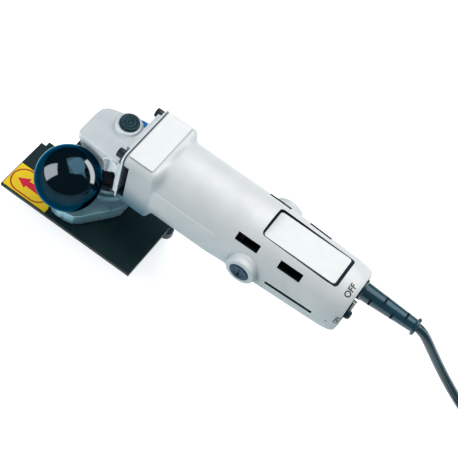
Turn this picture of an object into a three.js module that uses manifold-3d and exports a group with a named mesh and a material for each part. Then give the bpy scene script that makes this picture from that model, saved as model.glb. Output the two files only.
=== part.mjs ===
// Portable edge deburring machine: a mains motor with a right-angle head that drives a cone cutter,
// carried over the workpiece by a flat guide plate with a side guide below it and a ball handle.
// Millimetres. X runs along the motor axis to the cord, Y to the far side and Z up. The spindle axis is
// x = y = 0 and z = 0 is the lower edge of the side guide.
import * as THREE from "three";
import { mergeVertices } from "three/addons/utils/BufferGeometryUtils.js";
import Module from "manifold-3d";

// Shared clearances
const seatGap = 0.3;
const runningGap = 0.6;
const weldDistance = 0.001;
const cutOverrun = 1.5;

// Levels of the guide, the casting on it and the motor axis
const sideGuideDrop = 26;
const guidePlateThick = 4;
const castingWallHigh = 13;
const castingNeckRise = 3.5;
const depthRingHigh = 8;
const plateToMotorAxis = 75;
const plateFloor = sideGuideDrop;
const plateTop = plateFloor + guidePlateThick;
const motorAxis = plateTop + plateToMotorAxis;

// Motor housing
const barrelRadius = 35;
const flangeInset = 2;
const flangeHalf = barrelRadius - flangeInset;
const flangeCorner = 7;
const flangeFace = 28;
const flangeBack = 57;
const blendLength = 5;
const barrelStraightEnd = 150;
const barrelTaperEnd = 222;
const barrelTaperRadius = 32.3;
const tailFace = 244.5;
const tailRadius = 27.4;
const tailRoundLength = 13;
const tailRoundRise = 3;
const tailWall = 4;
const tailRim = 2.2;
const tailRecess = 5;
const tailPlate = tailFace - tailRecess;
const tailSideWall = 1.9;
const tailChamberRadius = tailRadius - tailSideWall;
const tailChamberLength = 8;
const fanChamberWall = 5.5;
const fanChamberRadius = barrelRadius - fanChamberWall;
const rearWebThick = 5;
const rearWebHoleRadius = 5.5;
const rearWebHoleCircle = 19.5;
const rearWebHoleCount = 4;

// Openings through the motor housing
const ventLength = 21.5;
const ventWide = 7.5;
const ventFirst = 138;
const ventPitch = 41.3;
const ventCount = 2;
const ventRiseDegrees = 43;
const slotStart = 177;
const slotLength = 45;
const slotHigh = 3.2;
const slotAboveAxis = 1.8;
const exhaustLength = 6;
const exhaustHigh = 44;
const exhaustDepth = 14;
const exhaustAboveAxis = 1;

// Name plates, both blank
const nameplateStart = 155.4;
const nameplateLength = 69.6;
const nameplateHalf = 14.3;
const nameplateThick = 0.8;
const nameplateRecess = 6.8;
const nameplateBorder = 1.6;
const nameplateTailBorder = 3;
const rearChamberWall = 2.7;
const rearChamberRadius = barrelRadius - nameplateRecess - rearChamberWall;
const headPlateLength = 24;
const headPlateEdge = 4.5;
const headPlateHalf = flangeHalf - headPlateEdge;
const headPlateThick = 0.5;
const headPlateMargin = 1.6;

// Gear head
const headFlangeThick = 5;
const headNoseX = -26.5;
const headNearFront = 20.8;
const headNearHalf = 26;
const headBreakX = 12;
const headFarFront = 16.8;
const headFarHalf = 24;
const headEdge = 1.5;
const headNearCorner = 5;
const headFarCorner = 10;
const headTopFront = 3;
const headTopSlopeDegrees = 9;
const headWallDrop = 3;
const headSkirtDrop = 22;
const headNearDraft = 6.5;
const headDraft = 0.8;
const headFarDraft = 4;
const headBreakDraft = 4;
const headArchRadius = 7.5;
const headArchDepth = 10.5;
const headArchRoof = 3;
const headBodyRadius = 17.5;
const headFloor = 45;
const gearChamberRadius = 14.2;
const pinionChamberRadius = 6.6;

// Screws that join the gear head to the motor housing
const flangeScrewInset = 6.5;
const flangeScrewSpread = flangeHalf - flangeScrewInset;
const flangeScrewHead = 4.2;
const flangeScrewHeadHigh = 7;
const flangeLugThick = 1.6;
const flangeNotchHalf = 5;
const headScrewGap = 2.8;
const headBodyHalf = flangeScrewSpread - flangeScrewHead - headScrewGap;
const flangeScrewRadius = 2.4;
const flangeScrewReach = 17;
const flangeScrewSocket = 2;

// Spindle lock
const lockX = 4.3;
const lockY = 10.5;
const lockBossRadius = 11.4;
const lockBossTop = 12.4;
const lockButtonRadius = 8.7;
const lockButtonTop = 15.2;
const lockButtonHigh = 5;
const lockTravel = 2.5;
const lockPinRadius = 1.8;
const lockPinCircle = 8.8;
const lockButtonCap = 1.8;
const lockButtonWall = 1.5;
const lockSpringRadius = 5.6;
const lockSpringWire = 0.45;
const lockSpringTurns = 2.5;

// Bevel gears
const pinionTeeth = 10;
const crownTeeth = 24;
const crownPitchRadius = 12;
const crownInnerRadius = 7.6;
const crownRim = 1.2;
const crownThick = 7;
const crownHoleCount = 4;
const toothDepth = 1;
const toothShare = 0.45;
const pinionTail = 7;

// Spindle, its bearings and the neck that the casting slides on
const neckRadius = 17.5;
const neckFloor = 38;
const neckFlangeHigh = 4;
const spindleRadius = 6;
const spindleTopRadius = 5;
const spindleNoseRadius = 4;
const spindleBearingRadius = 14;
const spindleBearingHigh = 8;
const lowerBearingFloor = 42;
const upperBearingFloor = 62;
const neckBore = 9;

// Cutter
const cutterRadius = 14;
const cutterLand = 2.4;
const cutterTipRadius = 4;
const cutterReach = 2.5;
const cutterInsertCount = 2;
const cutterInsertWide = 5;
const cutterInsertDeep = 2;
const cutterInsertShare = 0.8;
const cutterScrewHead = 3.4;
const cutterScrewHeadHigh = 3;
const cutterScrewRadius = 2;
const cutterScrewReach = 11;

// Armature
const shaftRadius = 3.5;
const shaftNoseRadius = 2.3;
const shaftFront = 8;
const shaftTail = 6;
const frontBearingStart = 22.5;
const frontBearingWide = 6;
const frontBearingRadius = 9.5;
const rearBearingRadius = 9.5;
const rearBearingWide = 6;
const fanStart = 38;
const fanHubLength = 12;
const fanHubRadius = 8;
const fanDiscThick = 2;
const fanClearance = 2;
const fanRadius = fanChamberRadius - fanClearance;
const fanBladeCount = 11;
const fanBladeThick = 1.6;
const coreStart = 80;
const coreLength = 52;
const armatureRadius = 17;
const armatureSlotCount = 12;
const armatureSlotDeep = 5;
const armatureSlotWide = 2.4;
const windingLength = 11;
const windingRadius = 14.5;
const commutatorGap = 4;
const commutatorStart = coreStart + coreLength + windingLength + commutatorGap;
const commutatorLength = 16;
const commutatorRadius = 11.5;
const commutatorBarCount = 12;
const commutatorGroove = 0.8;
const bearingStandoff = 0.7;
const rearWebFace = commutatorStart + commutatorLength + bearingStandoff + rearBearingWide + seatGap;
const shaftBack = rearWebFace + shaftTail;

// Field of the motor
const fieldWall = 5.1;
const fieldRadius = barrelRadius - fieldWall - seatGap;
const airGap = 1;
const fieldBore = armatureRadius + airGap;
const fieldCoilInset = 1;
const fieldCoilInner = fieldBore + fieldCoilInset;
const fieldCoilOutset = 2.6;
const fieldCoilOuter = fieldRadius - fieldCoilOutset;
const fieldCoilLength = 11;

// Brush gear
const brushX = commutatorStart + commutatorLength / 2;
const brushBossRadius = 13.6;
const brushBossRootRadius = 16;
const brushBossFace = 39.4;
const brushBossRoot = 27;
const brushCapRadius = 8.8;
const brushCapThick = 5.5;
const brushCapProud = 0.8;
const brushCapSlotWide = 1.8;
const brushCapSlotDeep = 1.6;
const brushBoreRadius = 7.9;
const brushWide = 6;
const brushHigh = 9;
const brushSpringLength = 9;
const holderWall = 1.2;
const holderInner = 15.5;
const brushSpringRadius = 2.4;
const brushSpringWire = 0.4;
const brushSpringTurns = 3;

// Switch on the tail
const switchUp = 3;
const switchHalfWide = 9.5;
const switchHalfHigh = 10;
const switchDeep = 26;
const switchShaftRadius = 2.4;
const switchHubRadius = 3.2;
const switchHubThick = 2.2;
const switchLeverRadius = 2.3;
const switchLeverLength = 12.7;
const switchLeverStandoff = 6;
const switchRestDegrees = 210;
const switchTipRadius = 4.2;
const switchTipLength = 8;

// Strain relief and cord
const bootSide = 13.5;
const bootUp = 2.5;
const bootCollarRadius = 9.5;
const bootCollarThick = 3.5;
const bootRootRadius = 8.6;
const bootTipRadius = 6.1;
const bootLength = 59.5;
const bootRingRadius = 8.3;
const bootRingThick = 3;
const bootStemRadius = 6.2;
const bootStemLength = 9;
const bootNotchDeep = 0.7;
const bootNotchWide = 1.4;
const bootNotchCount = 4;
const cordRadius = 4.3;
const cordSides = 10;
const cordSteps = 10;
const cordFlat = 0.86;
const coilX = 455;
const coilRadius = 49;
const coilTurns = 6;
const coilPitch = 9.65;
const coilStepsPerTurn = 24;
const coilSides = 6;
const coilLead = 13;
const coilRiseLength = 60;
const plugLength = 38;
const plugWide = 24;
const plugHigh = 16;
const plugCorner = 5;
const plugReliefLength = 24;
const plugReliefRadius = 6.2;
const bladeLength = 17;
const bladeHigh = 6.3;
const bladeThick = 1.5;
const bladeRoot = 8;
const bladeSpread = 6.35;

// Guide plate, casting and handle
const plateStart = -71;
const plateEnd = 71;
const plateNear = -62.5;
const plateFarEdge = -5.5;
const plateWingStart = -44;
const plateWingFar = 30;
const plateWindow = 17.5;
const castingHalf = 30;
const castingFar = 29;
const castingShoulderNear = -22;
const castingCornerX = 8;
const castingCornerNear = -50;
const castingLobeNear = -57;
const castingLobeFront = -22;
const castingRound = 5;
const castingNeckRadius = 28;
const castingNeckTopRadius = 25.5;
const castingScrewX = 23;
const castingScrewNear = -17;
const castingScrewFar = 19;
const castingScrewRadius = 2.4;
const castingScrewHead = 4.4;
const castingScrewReach = 12;
const depthRingRadius = 24.5;
const depthRingNotchCount = 24;
const depthRingNotch = 1;
const handleX = -11.4;
const handleY = -48.8;
const ballRadius = 29.1;
const ballAbovePlate = 54.9;
const ballSides = 32;
const studRadius = 5;
const studCollarRadius = 8;
const studCollarHigh = 3;
const studReach = 14;
const studRoot = 10;
const labelStart = -70;
const labelNear = -61.5;
const labelFar = -34;
const labelThick = 0.5;
const clampScrewRadius = 3;
const clampHeadRadius = 6;
const clampHeadHigh = 8;
const clampAbovePlate = 7.5;

// Side guide below the plate, and the knobs that hold it
const sideGuideStart = -67.5;
const sideGuideEnd = 58;
const sideGuideThick = 6.5;
const sideGuideNear = -4.5;
const footStart = -48;
const footEnd = 71;
const footFar = 24;
const footWindowHalf = 14;
const footThick = 4.7;
const guideWindowHalf = 12;
const guideWindowFloor = 8;
const footWindowFar = 15;
const knobPlaces = [[-38, 12], [67.5, 3]];
const knobRadius = 6.8;
const knobHigh = 10;
const knobStudRadius = 2.4;
const knobStudReach = 3;
const knobSlotTravel = 3.5;
const knobFluteCount = 10;
const knobFluteRadius = 1;

// Round shapes are drawn with these many sides
const largeSides = 32;
const mediumSides = 20;
const smallSides = 10;
const ringPointsPerCorner = 8;
const helixStepsPerTurn = 8;
const helixSides = 5;
const arcSteps = 4;

const wasm = await Module();
wasm.setup();

const finishes = {
  housingPaint: { color: 0xd9dde0, roughness: 0.38, metalness: 0.55 },
  headCasting: { color: 0xb9c0c4, roughness: 0.42, metalness: 0.6 },
  castAluminium: { color: 0x8fa6ae, roughness: 0.4, metalness: 0.75 },
  blackPlate: { color: 0x1c2429, roughness: 0.45, metalness: 0.3 },
  blackGloss: { color: 0x0c1216, roughness: 0.08, metalness: 0.0 },
  blackPlastic: { color: 0x15191c, roughness: 0.5, metalness: 0.0 },
  rubber: { color: 0x14181a, roughness: 0.7, metalness: 0.0 },
  steel: { color: 0x9a9fa3, roughness: 0.3, metalness: 1.0 },
  darkSteel: { color: 0x2a2d30, roughness: 0.4, metalness: 0.9 },
  chrome: { color: 0xd6d9dc, roughness: 0.12, metalness: 1.0 },
  brass: { color: 0xb89a55, roughness: 0.3, metalness: 1.0 },
  copper: { color: 0xa5592f, roughness: 0.4, metalness: 0.9 },
  carbon: { color: 0x222222, roughness: 0.7, metalness: 0.1 },
  whitePlate: { color: 0xf2f3f3, roughness: 0.4, metalness: 0.1 },
  labelYellow: { color: 0xf6d22a, roughness: 0.5, metalness: 0.0 },
};

const machine = new THREE.Group();
machine.name = "portable_deburring_machine";

// Builds a solid from a closed surface and turns its faces outward
function solid(geometry) {
  const bare = geometry.index ? geometry.toNonIndexed() : geometry.clone();
  for (const name of Object.keys(bare.attributes)) {
    if (name !== "position") bare.deleteAttribute(name);
  }
  const merged = mergeVertices(bare, weldDistance);
  const corners = new Uint32Array(merged.index.array);
  const place = merged.attributes.position;
  let volume = 0;
  const [a, b, c] = [new THREE.Vector3(), new THREE.Vector3(), new THREE.Vector3()];
  for (let i = 0; i < corners.length; i += 3) {
    a.fromBufferAttribute(place, corners[i]);
    b.fromBufferAttribute(place, corners[i + 1]);
    c.fromBufferAttribute(place, corners[i + 2]);
    volume += a.dot(b.cross(c));
  }
  if (volume < 0) {
    for (let i = 0; i < corners.length; i += 3) {
      [corners[i + 1], corners[i + 2]] = [corners[i + 2], corners[i + 1]];
    }
  }
  return new wasm.Manifold(new wasm.Mesh({ numProp: 3, vertProperties: place.array, triVerts: corners }));
}

function join(first, ...others) {
  return others.reduce((whole, piece) => whole.add(piece), first);
}

function cut(first, ...tools) {
  return tools.reduce((whole, tool) => whole.subtract(tool), first);
}

// Adds a solid to the machine as a named node
function place(name, body, finish) {
  const mesh = body.getMesh();
  const geometry = new THREE.BufferGeometry();
  const points = new Float32Array(mesh.numVert * 3);
  for (let i = 0; i < mesh.numVert; i += 1) {
    points.set(mesh.vertProperties.subarray(i * mesh.numProp, i * mesh.numProp + 3), i * 3);
  }
  geometry.setAttribute("position", new THREE.BufferAttribute(points, 3));
  geometry.setIndex(new THREE.BufferAttribute(new Uint32Array(mesh.triVerts), 1));
  geometry.computeVertexNormals();
  const node = new THREE.Mesh(geometry, new THREE.MeshStandardMaterial(finishes[finish]));
  node.name = name;
  machine.add(node);
}

function box(low, high) {
  const size = high.map((value, i) => value - low[i]);
  const geometry = new THREE.BoxGeometry(...size);
  geometry.translate(...low.map((value, i) => value + size[i] / 2));
  return solid(geometry);
}

// Turns geometry made along Y so that it runs along the named axis
function alongAxis(geometry, axis) {
  if (axis === "x") geometry.rotateZ(-Math.PI / 2);
  if (axis === "z") geometry.rotateX(Math.PI / 2);
  if (axis === "-y") geometry.rotateZ(Math.PI);
  return geometry;
}

// Turned solid: the profile lists [place along the axis, radius] and closes on the axis or on itself
function turned(profile, axis, centre, sides) {
  const points = profile.map(([along, radius]) => new THREE.Vector2(radius, along));
  const geometry = alongAxis(new THREE.LatheGeometry(points, sides), axis);
  geometry.translate(...centre);
  return solid(geometry);
}

function rod(start, end, radius, axis, centre, sides) {
  return turned([[start, 0], [start, radius], [end, radius], [end, 0]], axis, centre, sides);
}

function tube(start, end, outer, inner, axis, centre, sides) {
  const profile = [[start, inner], [start, outer], [end, outer], [end, inner], [start, inner]];
  return turned(profile, axis, centre, sides);
}

// Outline of a square with rounded corners; a corner as large as the half size gives a circle
function roundedRing(halfWide, halfHigh, corner) {
  const points = [];
  for (let quarter = 0; quarter < 4; quarter += 1) {
    const signY = quarter === 0 || quarter === 3 ? 1 : -1;
    const signZ = quarter < 2 ? 1 : -1;
    for (let i = 0; i < ringPointsPerCorner; i += 1) {
      const turn = ((quarter + (i + 0.5) / ringPointsPerCorner) * Math.PI) / 2;
      points.push([
        signY * (halfWide - corner) + corner * Math.cos(turn),
        signZ * (halfHigh - corner) + corner * Math.sin(turn),
      ]);
    }
  }
  return points;
}

// Skin through a row of closed rings that have the same number of points
function loft(rings) {
  const count = rings[0].length;
  const positions = rings.flat(2);
  const index = [];
  for (let r = 0; r + 1 < rings.length; r += 1) {
    for (let i = 0; i < count; i += 1) {
      const [p, q] = [r * count + i, r * count + ((i + 1) % count)];
      index.push(p, q, q + count, p, q + count, p + count);
    }
  }
  const last = (rings.length - 1) * count;
  for (let i = 1; i + 1 < count; i += 1) {
    index.push(0, i + 1, i, last, last + i, last + i + 1);
  }
  const geometry = new THREE.BufferGeometry();
  geometry.setAttribute("position", new THREE.Float32BufferAttribute(positions, 3));
  geometry.setIndex(index);
  return geometry;
}

// Loft along X around the motor axis: each station is [x, half size, corner radius]
function bodyAlongMotor(stations) {
  const rings = stations.map(([x, half, corner]) =>
    roundedRing(half, half, corner).map(([y, z]) => [x, y, motorAxis + z]));
  return solid(loft(rings));
}

// Upright prism from a plan outline
function prism(outline, floor, top) {
  const shape = new THREE.Shape(outline.map(([x, y]) => new THREE.Vector2(x, y)));
  const geometry = new THREE.ExtrudeGeometry(shape, { depth: top - floor, bevelEnabled: false });
  geometry.translate(0, 0, floor);
  return solid(geometry);
}

// Plan outline with each corner drawn as an arc; each corner is [x, y, radius]
function roundedOutline(corners) {
  const path = new THREE.Path();
  const at = (i) => corners[(i + corners.length) % corners.length];
  const toward = (from, to, distance) => {
    const length = Math.hypot(to[0] - from[0], to[1] - from[1]);
    return [0, 1].map((k) => from[k] + ((to[k] - from[k]) * distance) / length);
  };
  corners.forEach((corner, i) => {
    const before = toward(corner, at(i - 1), corner[2]);
    const after = toward(corner, at(i + 1), corner[2]);
    if (i === 0) path.moveTo(...before);
    else path.lineTo(...before);
    path.quadraticCurveTo(corner[0], corner[1], ...after);
  });
  return path.getPoints(arcSteps).map((point) => [point.x, point.y]);
}

// Round wire wound into a helix along Z
function helix(radius, wire, turns, floor, top, centre) {
  const rise = top - floor - 2 * wire;
  const curve = new THREE.Curve();
  curve.getPoint = (t, target = new THREE.Vector3()) => {
    const turn = t * turns * 2 * Math.PI;
    return target.set(radius * Math.cos(turn), radius * Math.sin(turn), floor + wire + rise * t);
  };
  const steps = Math.round(turns * helixStepsPerTurn);
  const geometry = sweep(curve, wire, helixSides, steps);
  geometry.translate(...centre);
  return geometry;
}

// Closed tube along a curve
function sweep(curve, radius, sides, steps) {
  const circle = new THREE.Shape();
  for (let i = 0; i < sides; i += 1) {
    const turn = (i * 2 * Math.PI) / sides;
    const point = [radius * Math.cos(turn), radius * Math.sin(turn)];
    if (i === 0) circle.moveTo(...point);
    else circle.lineTo(...point);
  }
  return new THREE.ExtrudeGeometry(circle, { steps, extrudePath: curve, bevelEnabled: false });
}

const onMotorAxis = [0, 0, motorAxis];
const onSpindle = [0, 0, 0];
const upright = (x, y) => [x, y, 0];

// Motor housing
function motorHousing() {
  const barrelStart = flangeBack + blendLength;
  const outer = bodyAlongMotor([
    [flangeFace, flangeHalf, flangeCorner],
    [flangeBack, flangeHalf, flangeCorner],
    [flangeBack + blendLength / 2, (flangeHalf + barrelRadius) / 2,
      (flangeCorner + 2 * barrelRadius) / 3],
    [barrelStart, barrelRadius, barrelRadius],
    [barrelStraightEnd, barrelRadius, barrelRadius],
    [barrelTaperEnd, barrelTaperRadius, barrelTaperRadius],
    [tailFace - tailRoundLength / 2, barrelTaperRadius - tailRoundRise / 3,
      barrelTaperRadius - tailRoundRise / 3],
    [tailFace - tailRoundLength / 4, barrelTaperRadius - (2 * tailRoundRise) / 3,
      barrelTaperRadius - (2 * tailRoundRise) / 3],
    [tailFace, tailRadius, tailRadius],
  ]);
  let body = outer;
  for (const side of [-1, 1]) {
    const boss = turned([
      [brushBossRoot, 0],
      [brushBossRoot, brushBossRootRadius],
      [barrelRadius, brushBossRootRadius],
      [brushBossFace - brushCapProud, brushBossRadius],
      [brushBossFace, brushBossRadius - brushCapProud],
      [brushBossFace, 0],
    ], side < 0 ? "-y" : "y", [brushX, 0, motorAxis], mediumSides);
    body = join(body, boss);
  }
  const fieldSeat = fieldRadius + seatGap;
  const chamber = turned([
    [flangeFace - cutOverrun, 0],
    [flangeFace - cutOverrun, fanChamberRadius],
    [coreStart - fieldCoilLength, fanChamberRadius],
    [coreStart - fieldCoilLength, fieldSeat],
    [commutatorStart, fieldSeat],
    [commutatorStart, rearChamberRadius],
    [rearWebFace, rearChamberRadius],
    [rearWebFace, 0],
  ], "x", onMotorAxis, largeSides);
  const tailWallFace = tailPlate - tailWall;
  const rearChamber = rod(rearWebFace + rearWebThick, tailWallFace, rearChamberRadius, "x", onMotorAxis,
    largeSides);
  const tailChamber = rod(tailWallFace - tailChamberLength, tailWallFace, tailChamberRadius, "x",
    onMotorAxis, largeSides);
  const tailWell = rod(tailPlate, tailFace + cutOverrun, tailRadius - tailRim, "x", onMotorAxis,
    largeSides);
  body = cut(body, chamber, rearChamber, tailChamber, tailWell);
  const bearingSeat = rod(rearWebFace - cutOverrun, rearWebFace + rearWebThick + cutOverrun,
    shaftRadius + runningGap, "x", onMotorAxis, smallSides);
  const bearingCup = tube(rearWebFace - rearBearingWide, rearWebFace + seatGap,
    rearBearingRadius + holderWall, rearBearingRadius + seatGap, "x", onMotorAxis, mediumSides);
  body = cut(join(body, bearingCup), bearingSeat);
  for (let i = 0; i < rearWebHoleCount; i += 1) {
    const turn = ((i + 0.5) * 2 * Math.PI) / rearWebHoleCount;
    const centre = [0, rearWebHoleCircle * Math.cos(turn), motorAxis + rearWebHoleCircle * Math.sin(turn)];
    body = cut(body, rod(rearWebFace - cutOverrun, rearWebFace + rearWebThick + cutOverrun,
      rearWebHoleRadius, "x", centre, smallSides));
  }
  for (const side of [-1, 1]) {
    for (let i = 0; i < ventCount; i += 1) {
      body = cut(body, ventTool(side, ventFirst + i * ventPitch));
    }
    body = cut(body, slotTool(side), exhaustTool(side), brushBoreTool(side));
  }
  for (const [y, z] of screwPlaces()) {
    body = cut(body, rod(flangeFace - cutOverrun, flangeFace + flangeScrewReach + cutOverrun,
      flangeScrewRadius + seatGap, "x", [0, y, motorAxis + z], smallSides));
  }
  const recess = box(
    [nameplateStart - nameplateBorder, -nameplateHalf - nameplateBorder,
      motorAxis + barrelRadius - nameplateRecess],
    [nameplateStart + nameplateLength + nameplateTailBorder, nameplateHalf + nameplateBorder,
      motorAxis + barrelRadius + cutOverrun],
  );
  const switchHole = rod(tailPlate - tailWall - cutOverrun, tailPlate + cutOverrun,
    switchShaftRadius + seatGap, "x", [0, 0, motorAxis + switchUp], smallSides);
  const bootHole = rod(tailPlate - tailWall - cutOverrun, tailPlate + cutOverrun,
    bootStemRadius + seatGap, "x", [0, bootSide, motorAxis + bootUp], mediumSides);
  return cut(body, recess, switchHole, bootHole);
}

function ventTool(side, start) {
  const geometry = new THREE.BoxGeometry(ventLength, barrelRadius, ventWide);
  geometry.translate(start + ventLength / 2, side * barrelRadius, 0);
  geometry.rotateX(side * THREE.MathUtils.degToRad(ventRiseDegrees));
  geometry.translate(0, 0, motorAxis);
  return solid(geometry);
}

function slotTool(side) {
  const near = side < 0 ? -barrelRadius - cutOverrun : barrelRadius / 2;
  const floor = motorAxis + slotAboveAxis - slotHigh / 2;
  return box([slotStart, near, floor],
    [slotStart + slotLength, near + barrelRadius / 2 + cutOverrun, floor + slotHigh]);
}

function exhaustTool(side) {
  const near = side < 0 ? -flangeHalf - cutOverrun : flangeHalf - exhaustDepth;
  const floor = motorAxis + exhaustAboveAxis - exhaustHigh / 2;
  return box([flangeFace - cutOverrun, near, floor],
    [flangeFace + exhaustLength, near + exhaustDepth + cutOverrun, floor + exhaustHigh]);
}

function brushBoreTool(side) {
  const axis = side < 0 ? "-y" : "y";
  const centre = [brushX, 0, motorAxis];
  const capSeat = brushBossFace + brushCapProud - brushCapThick - seatGap;
  return join(
    rod(holderInner, brushBossFace, brushBoreRadius, axis, centre, mediumSides),
    rod(capSeat, brushBossFace + cutOverrun, brushCapRadius + seatGap, axis, centre, mediumSides),
  );
}

function screwPlaces() {
  const spread = flangeScrewSpread;
  return [[-spread, spread], [spread, spread], [-spread, -spread], [spread, -spread]];
}

// Gear head casting with its sloping top, lock boss and chambers for the two gears
const headBack = flangeFace - seatGap;
const headFlangeFront = headBack - headFlangeThick;

function headTopAt(x) {
  const slope = Math.tan(THREE.MathUtils.degToRad(headTopSlopeDegrees));
  return motorAxis + headTopFront + (x - headNoseX) * slope;
}

// Plan of the head; the drafts pull its near wall, its nose, its far wall and its near break inward
function headPlan(nearDraft, draft, farDraft, breakDraft) {
  const back = headBack - headFlangeThick / 2;
  const nose = headNoseX + draft;
  return roundedOutline([
    [nose, -headNearFront + nearDraft, headNearCorner],
    [headBreakX - breakDraft, -headNearHalf + nearDraft, headEdge],
    [back, -headNearHalf + nearDraft, headEdge],
    [back, headFarHalf - farDraft, headEdge],
    [headBreakX, headFarHalf - farDraft, headEdge],
    [nose, headFarFront - farDraft, headFarCorner],
  ]);
}

function gearHousing() {
  const flange = bodyAlongMotor([
    [headFlangeFront, flangeHalf, flangeCorner],
    [headBack, flangeHalf, flangeCorner],
  ]);
  const wallFloor = motorAxis - headWallDrop;
  const skirtFloor = motorAxis - headSkirtDrop;
  const atLevel = (outline, level) => outline.map(([x, y]) => [x, y, level]);
  const skirt = solid(loft([
    atLevel(headPlan(headNearDraft, headDraft, headFarDraft, headBreakDraft), skirtFloor),
    atLevel(headPlan(0, 0, 0, 0), wallFloor),
  ]));
  let body = prism(headPlan(0, 0, 0, 0), wallFloor, headTopAt(headBack) + cutOverrun);
  const above = new THREE.BoxGeometry(headBack - headNoseX + 4 * cutOverrun, 4 * headNearHalf,
    headNearHalf / 2);
  above.translate(0, 0, headNearHalf / 4);
  above.rotateY(-THREE.MathUtils.degToRad(headTopSlopeDegrees));
  above.translate(0, 0, headTopAt(0));
  body = cut(body, solid(above));
  const lower = rod(headFloor + plateTop, skirtFloor + cutOverrun, headBodyRadius, "z", onSpindle,
    largeSides);
  const shoulder = box([0, -headBodyHalf, headFloor + plateTop + neckFlangeHigh],
    [headBack - headFlangeThick / 2, headBodyHalf, wallFloor]);
  const boss = rod(motorAxis - headTopFront, motorAxis + lockBossTop, lockBossRadius, "z",
    upright(lockX, lockY), mediumSides);
  body = join(body, skirt, flange, lower, shoulder, boss);
  body = cut(body, archTool());
  const ceiling = headTopAt(-gearChamberRadius) - headFlangeThick;
  const chamber = rod(headFloor + plateTop - cutOverrun, ceiling, gearChamberRadius, "z", onSpindle,
    mediumSides);
  const pinionRoom = turned([
    [shaftFront - cutOverrun, 0],
    [shaftFront - cutOverrun, pinionChamberRadius - cutOverrun],
    [crownPitchRadius, pinionChamberRadius],
    [headBack + cutOverrun, pinionChamberRadius],
    [headBack + cutOverrun, 0],
  ], "x", onMotorAxis, mediumSides);
  const bearingRoom = rod(frontBearingStart - seatGap, headBack + cutOverrun,
    frontBearingRadius + seatGap, "x", onMotorAxis, mediumSides);
  const well = rod(lockWellFloor(), motorAxis + lockBossTop + cutOverrun, lockButtonRadius + seatGap,
    "z", upright(lockX, lockY), mediumSides);
  const pinHole = rod(ceiling - cutOverrun, lockWellFloor() + cutOverrun, lockPinRadius + seatGap, "z",
    upright(...lockPinPlace()), smallSides);
  body = cut(body, chamber, pinionRoom, bearingRoom, well, pinHole);
  for (const spot of screwPlaces()) {
    const [y, z] = spot;
    body = cut(body, flangeNotch(spot), rod(headFlangeFront - cutOverrun, headBack + cutOverrun,
      flangeScrewRadius + seatGap, "x", [0, y, motorAxis + z], smallSides));
  }
  return body;
}

// Arched pocket in the near wall that leaves room for the lower flange screw
function archTool() {
  const middle = headFlangeFront - headArchRadius;
  const crest = headTopAt(middle) - headArchRoof - headArchRadius;
  const near = -headNearHalf - cutOverrun;
  const far = -headNearHalf + headArchDepth;
  return join(
    rod(near, far, headArchRadius, "y", [middle, 0, crest], mediumSides),
    box([middle - headArchRadius, near, headFloor + plateTop + neckFlangeHigh - cutOverrun],
      [headFlangeFront, far, crest]),
  );
}

// Corner of the flange that is cut back to a thin lug below a screw head
function flangeNotch([y, z]) {
  const reach = (value) => [Math.abs(value) - flangeNotchHalf, flangeHalf + cutOverrun];
  const [yLow, yHigh] = reach(y);
  const [zLow, zHigh] = reach(z);
  return box(
    [headFlangeFront - cutOverrun, y < 0 ? -yHigh : yLow, motorAxis + (z < 0 ? -zHigh : zLow)],
    [headBack - flangeLugThick, y < 0 ? -yLow : yHigh, motorAxis + (z < 0 ? -zLow : zHigh)],
  );
}

function lockWellFloor() {
  return motorAxis + lockButtonTop - lockButtonHigh - lockTravel - seatGap;
}

function lockPinPlace() {
  const reach = Math.hypot(lockX, lockY);
  return [(lockX * lockPinCircle) / reach, (lockY * lockPinCircle) / reach];
}

function flangeScrew([y, z]) {
  const headFace = headBack - flangeLugThick - seatGap;
  const centre = [0, y, motorAxis + z];
  const head = rod(headFace - flangeScrewHeadHigh, headFace, flangeScrewHead, "x", centre, mediumSides);
  const stem = rod(headFace - seatGap, flangeFace + flangeScrewReach, flangeScrewRadius, "x", centre,
    smallSides);
  const socket = rod(headFace - flangeScrewHeadHigh - cutOverrun, headFace - flangeScrewHeadHigh / 2,
    flangeScrewSocket, "x", centre, 6);
  return cut(join(head, stem), socket);
}

// Spindle lock: button, pin and spring
function lockButton() {
  const top = motorAxis + lockButtonTop;
  const inner = lockButtonRadius - lockButtonWall;
  return turned([
    [top - lockButtonHigh, inner],
    [top - lockButtonHigh, lockButtonRadius],
    [top - lockSpringWire, lockButtonRadius],
    [top, lockButtonRadius - 2 * lockSpringWire],
    [top, lockButtonRadius / 2],
    [top - lockSpringWire, lockButtonRadius / 2 - lockSpringWire],
    [top - lockSpringWire, 0],
    [top - lockButtonCap, 0],
    [top - lockButtonCap, inner],
    [top - lockButtonHigh, inner],
  ], "z", upright(lockX, lockY), mediumSides);
}

function lockPin() {
  const tip = crownTopAt(crownInnerRadius) + seatGap + lockTravel;
  const top = motorAxis + lockButtonTop - lockButtonCap - seatGap;
  return rod(tip, top, lockPinRadius, "z", upright(...lockPinPlace()), smallSides);
}

function lockSpring() {
  const top = motorAxis + lockButtonTop - lockButtonCap - seatGap;
  return solid(helix(lockSpringRadius, lockSpringWire, lockSpringTurns, lockWellFloor() + seatGap, top,
    upright(lockX, lockY)));
}

// Bevel gears: both stay inside their own pitch cones, so they turn past one another with a small gap
const pinionPitchRadius = (crownPitchRadius * pinionTeeth) / crownTeeth;

function crownTopAt(radius) {
  return motorAxis - (radius * pinionPitchRadius) / crownPitchRadius - seatGap;
}

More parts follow.
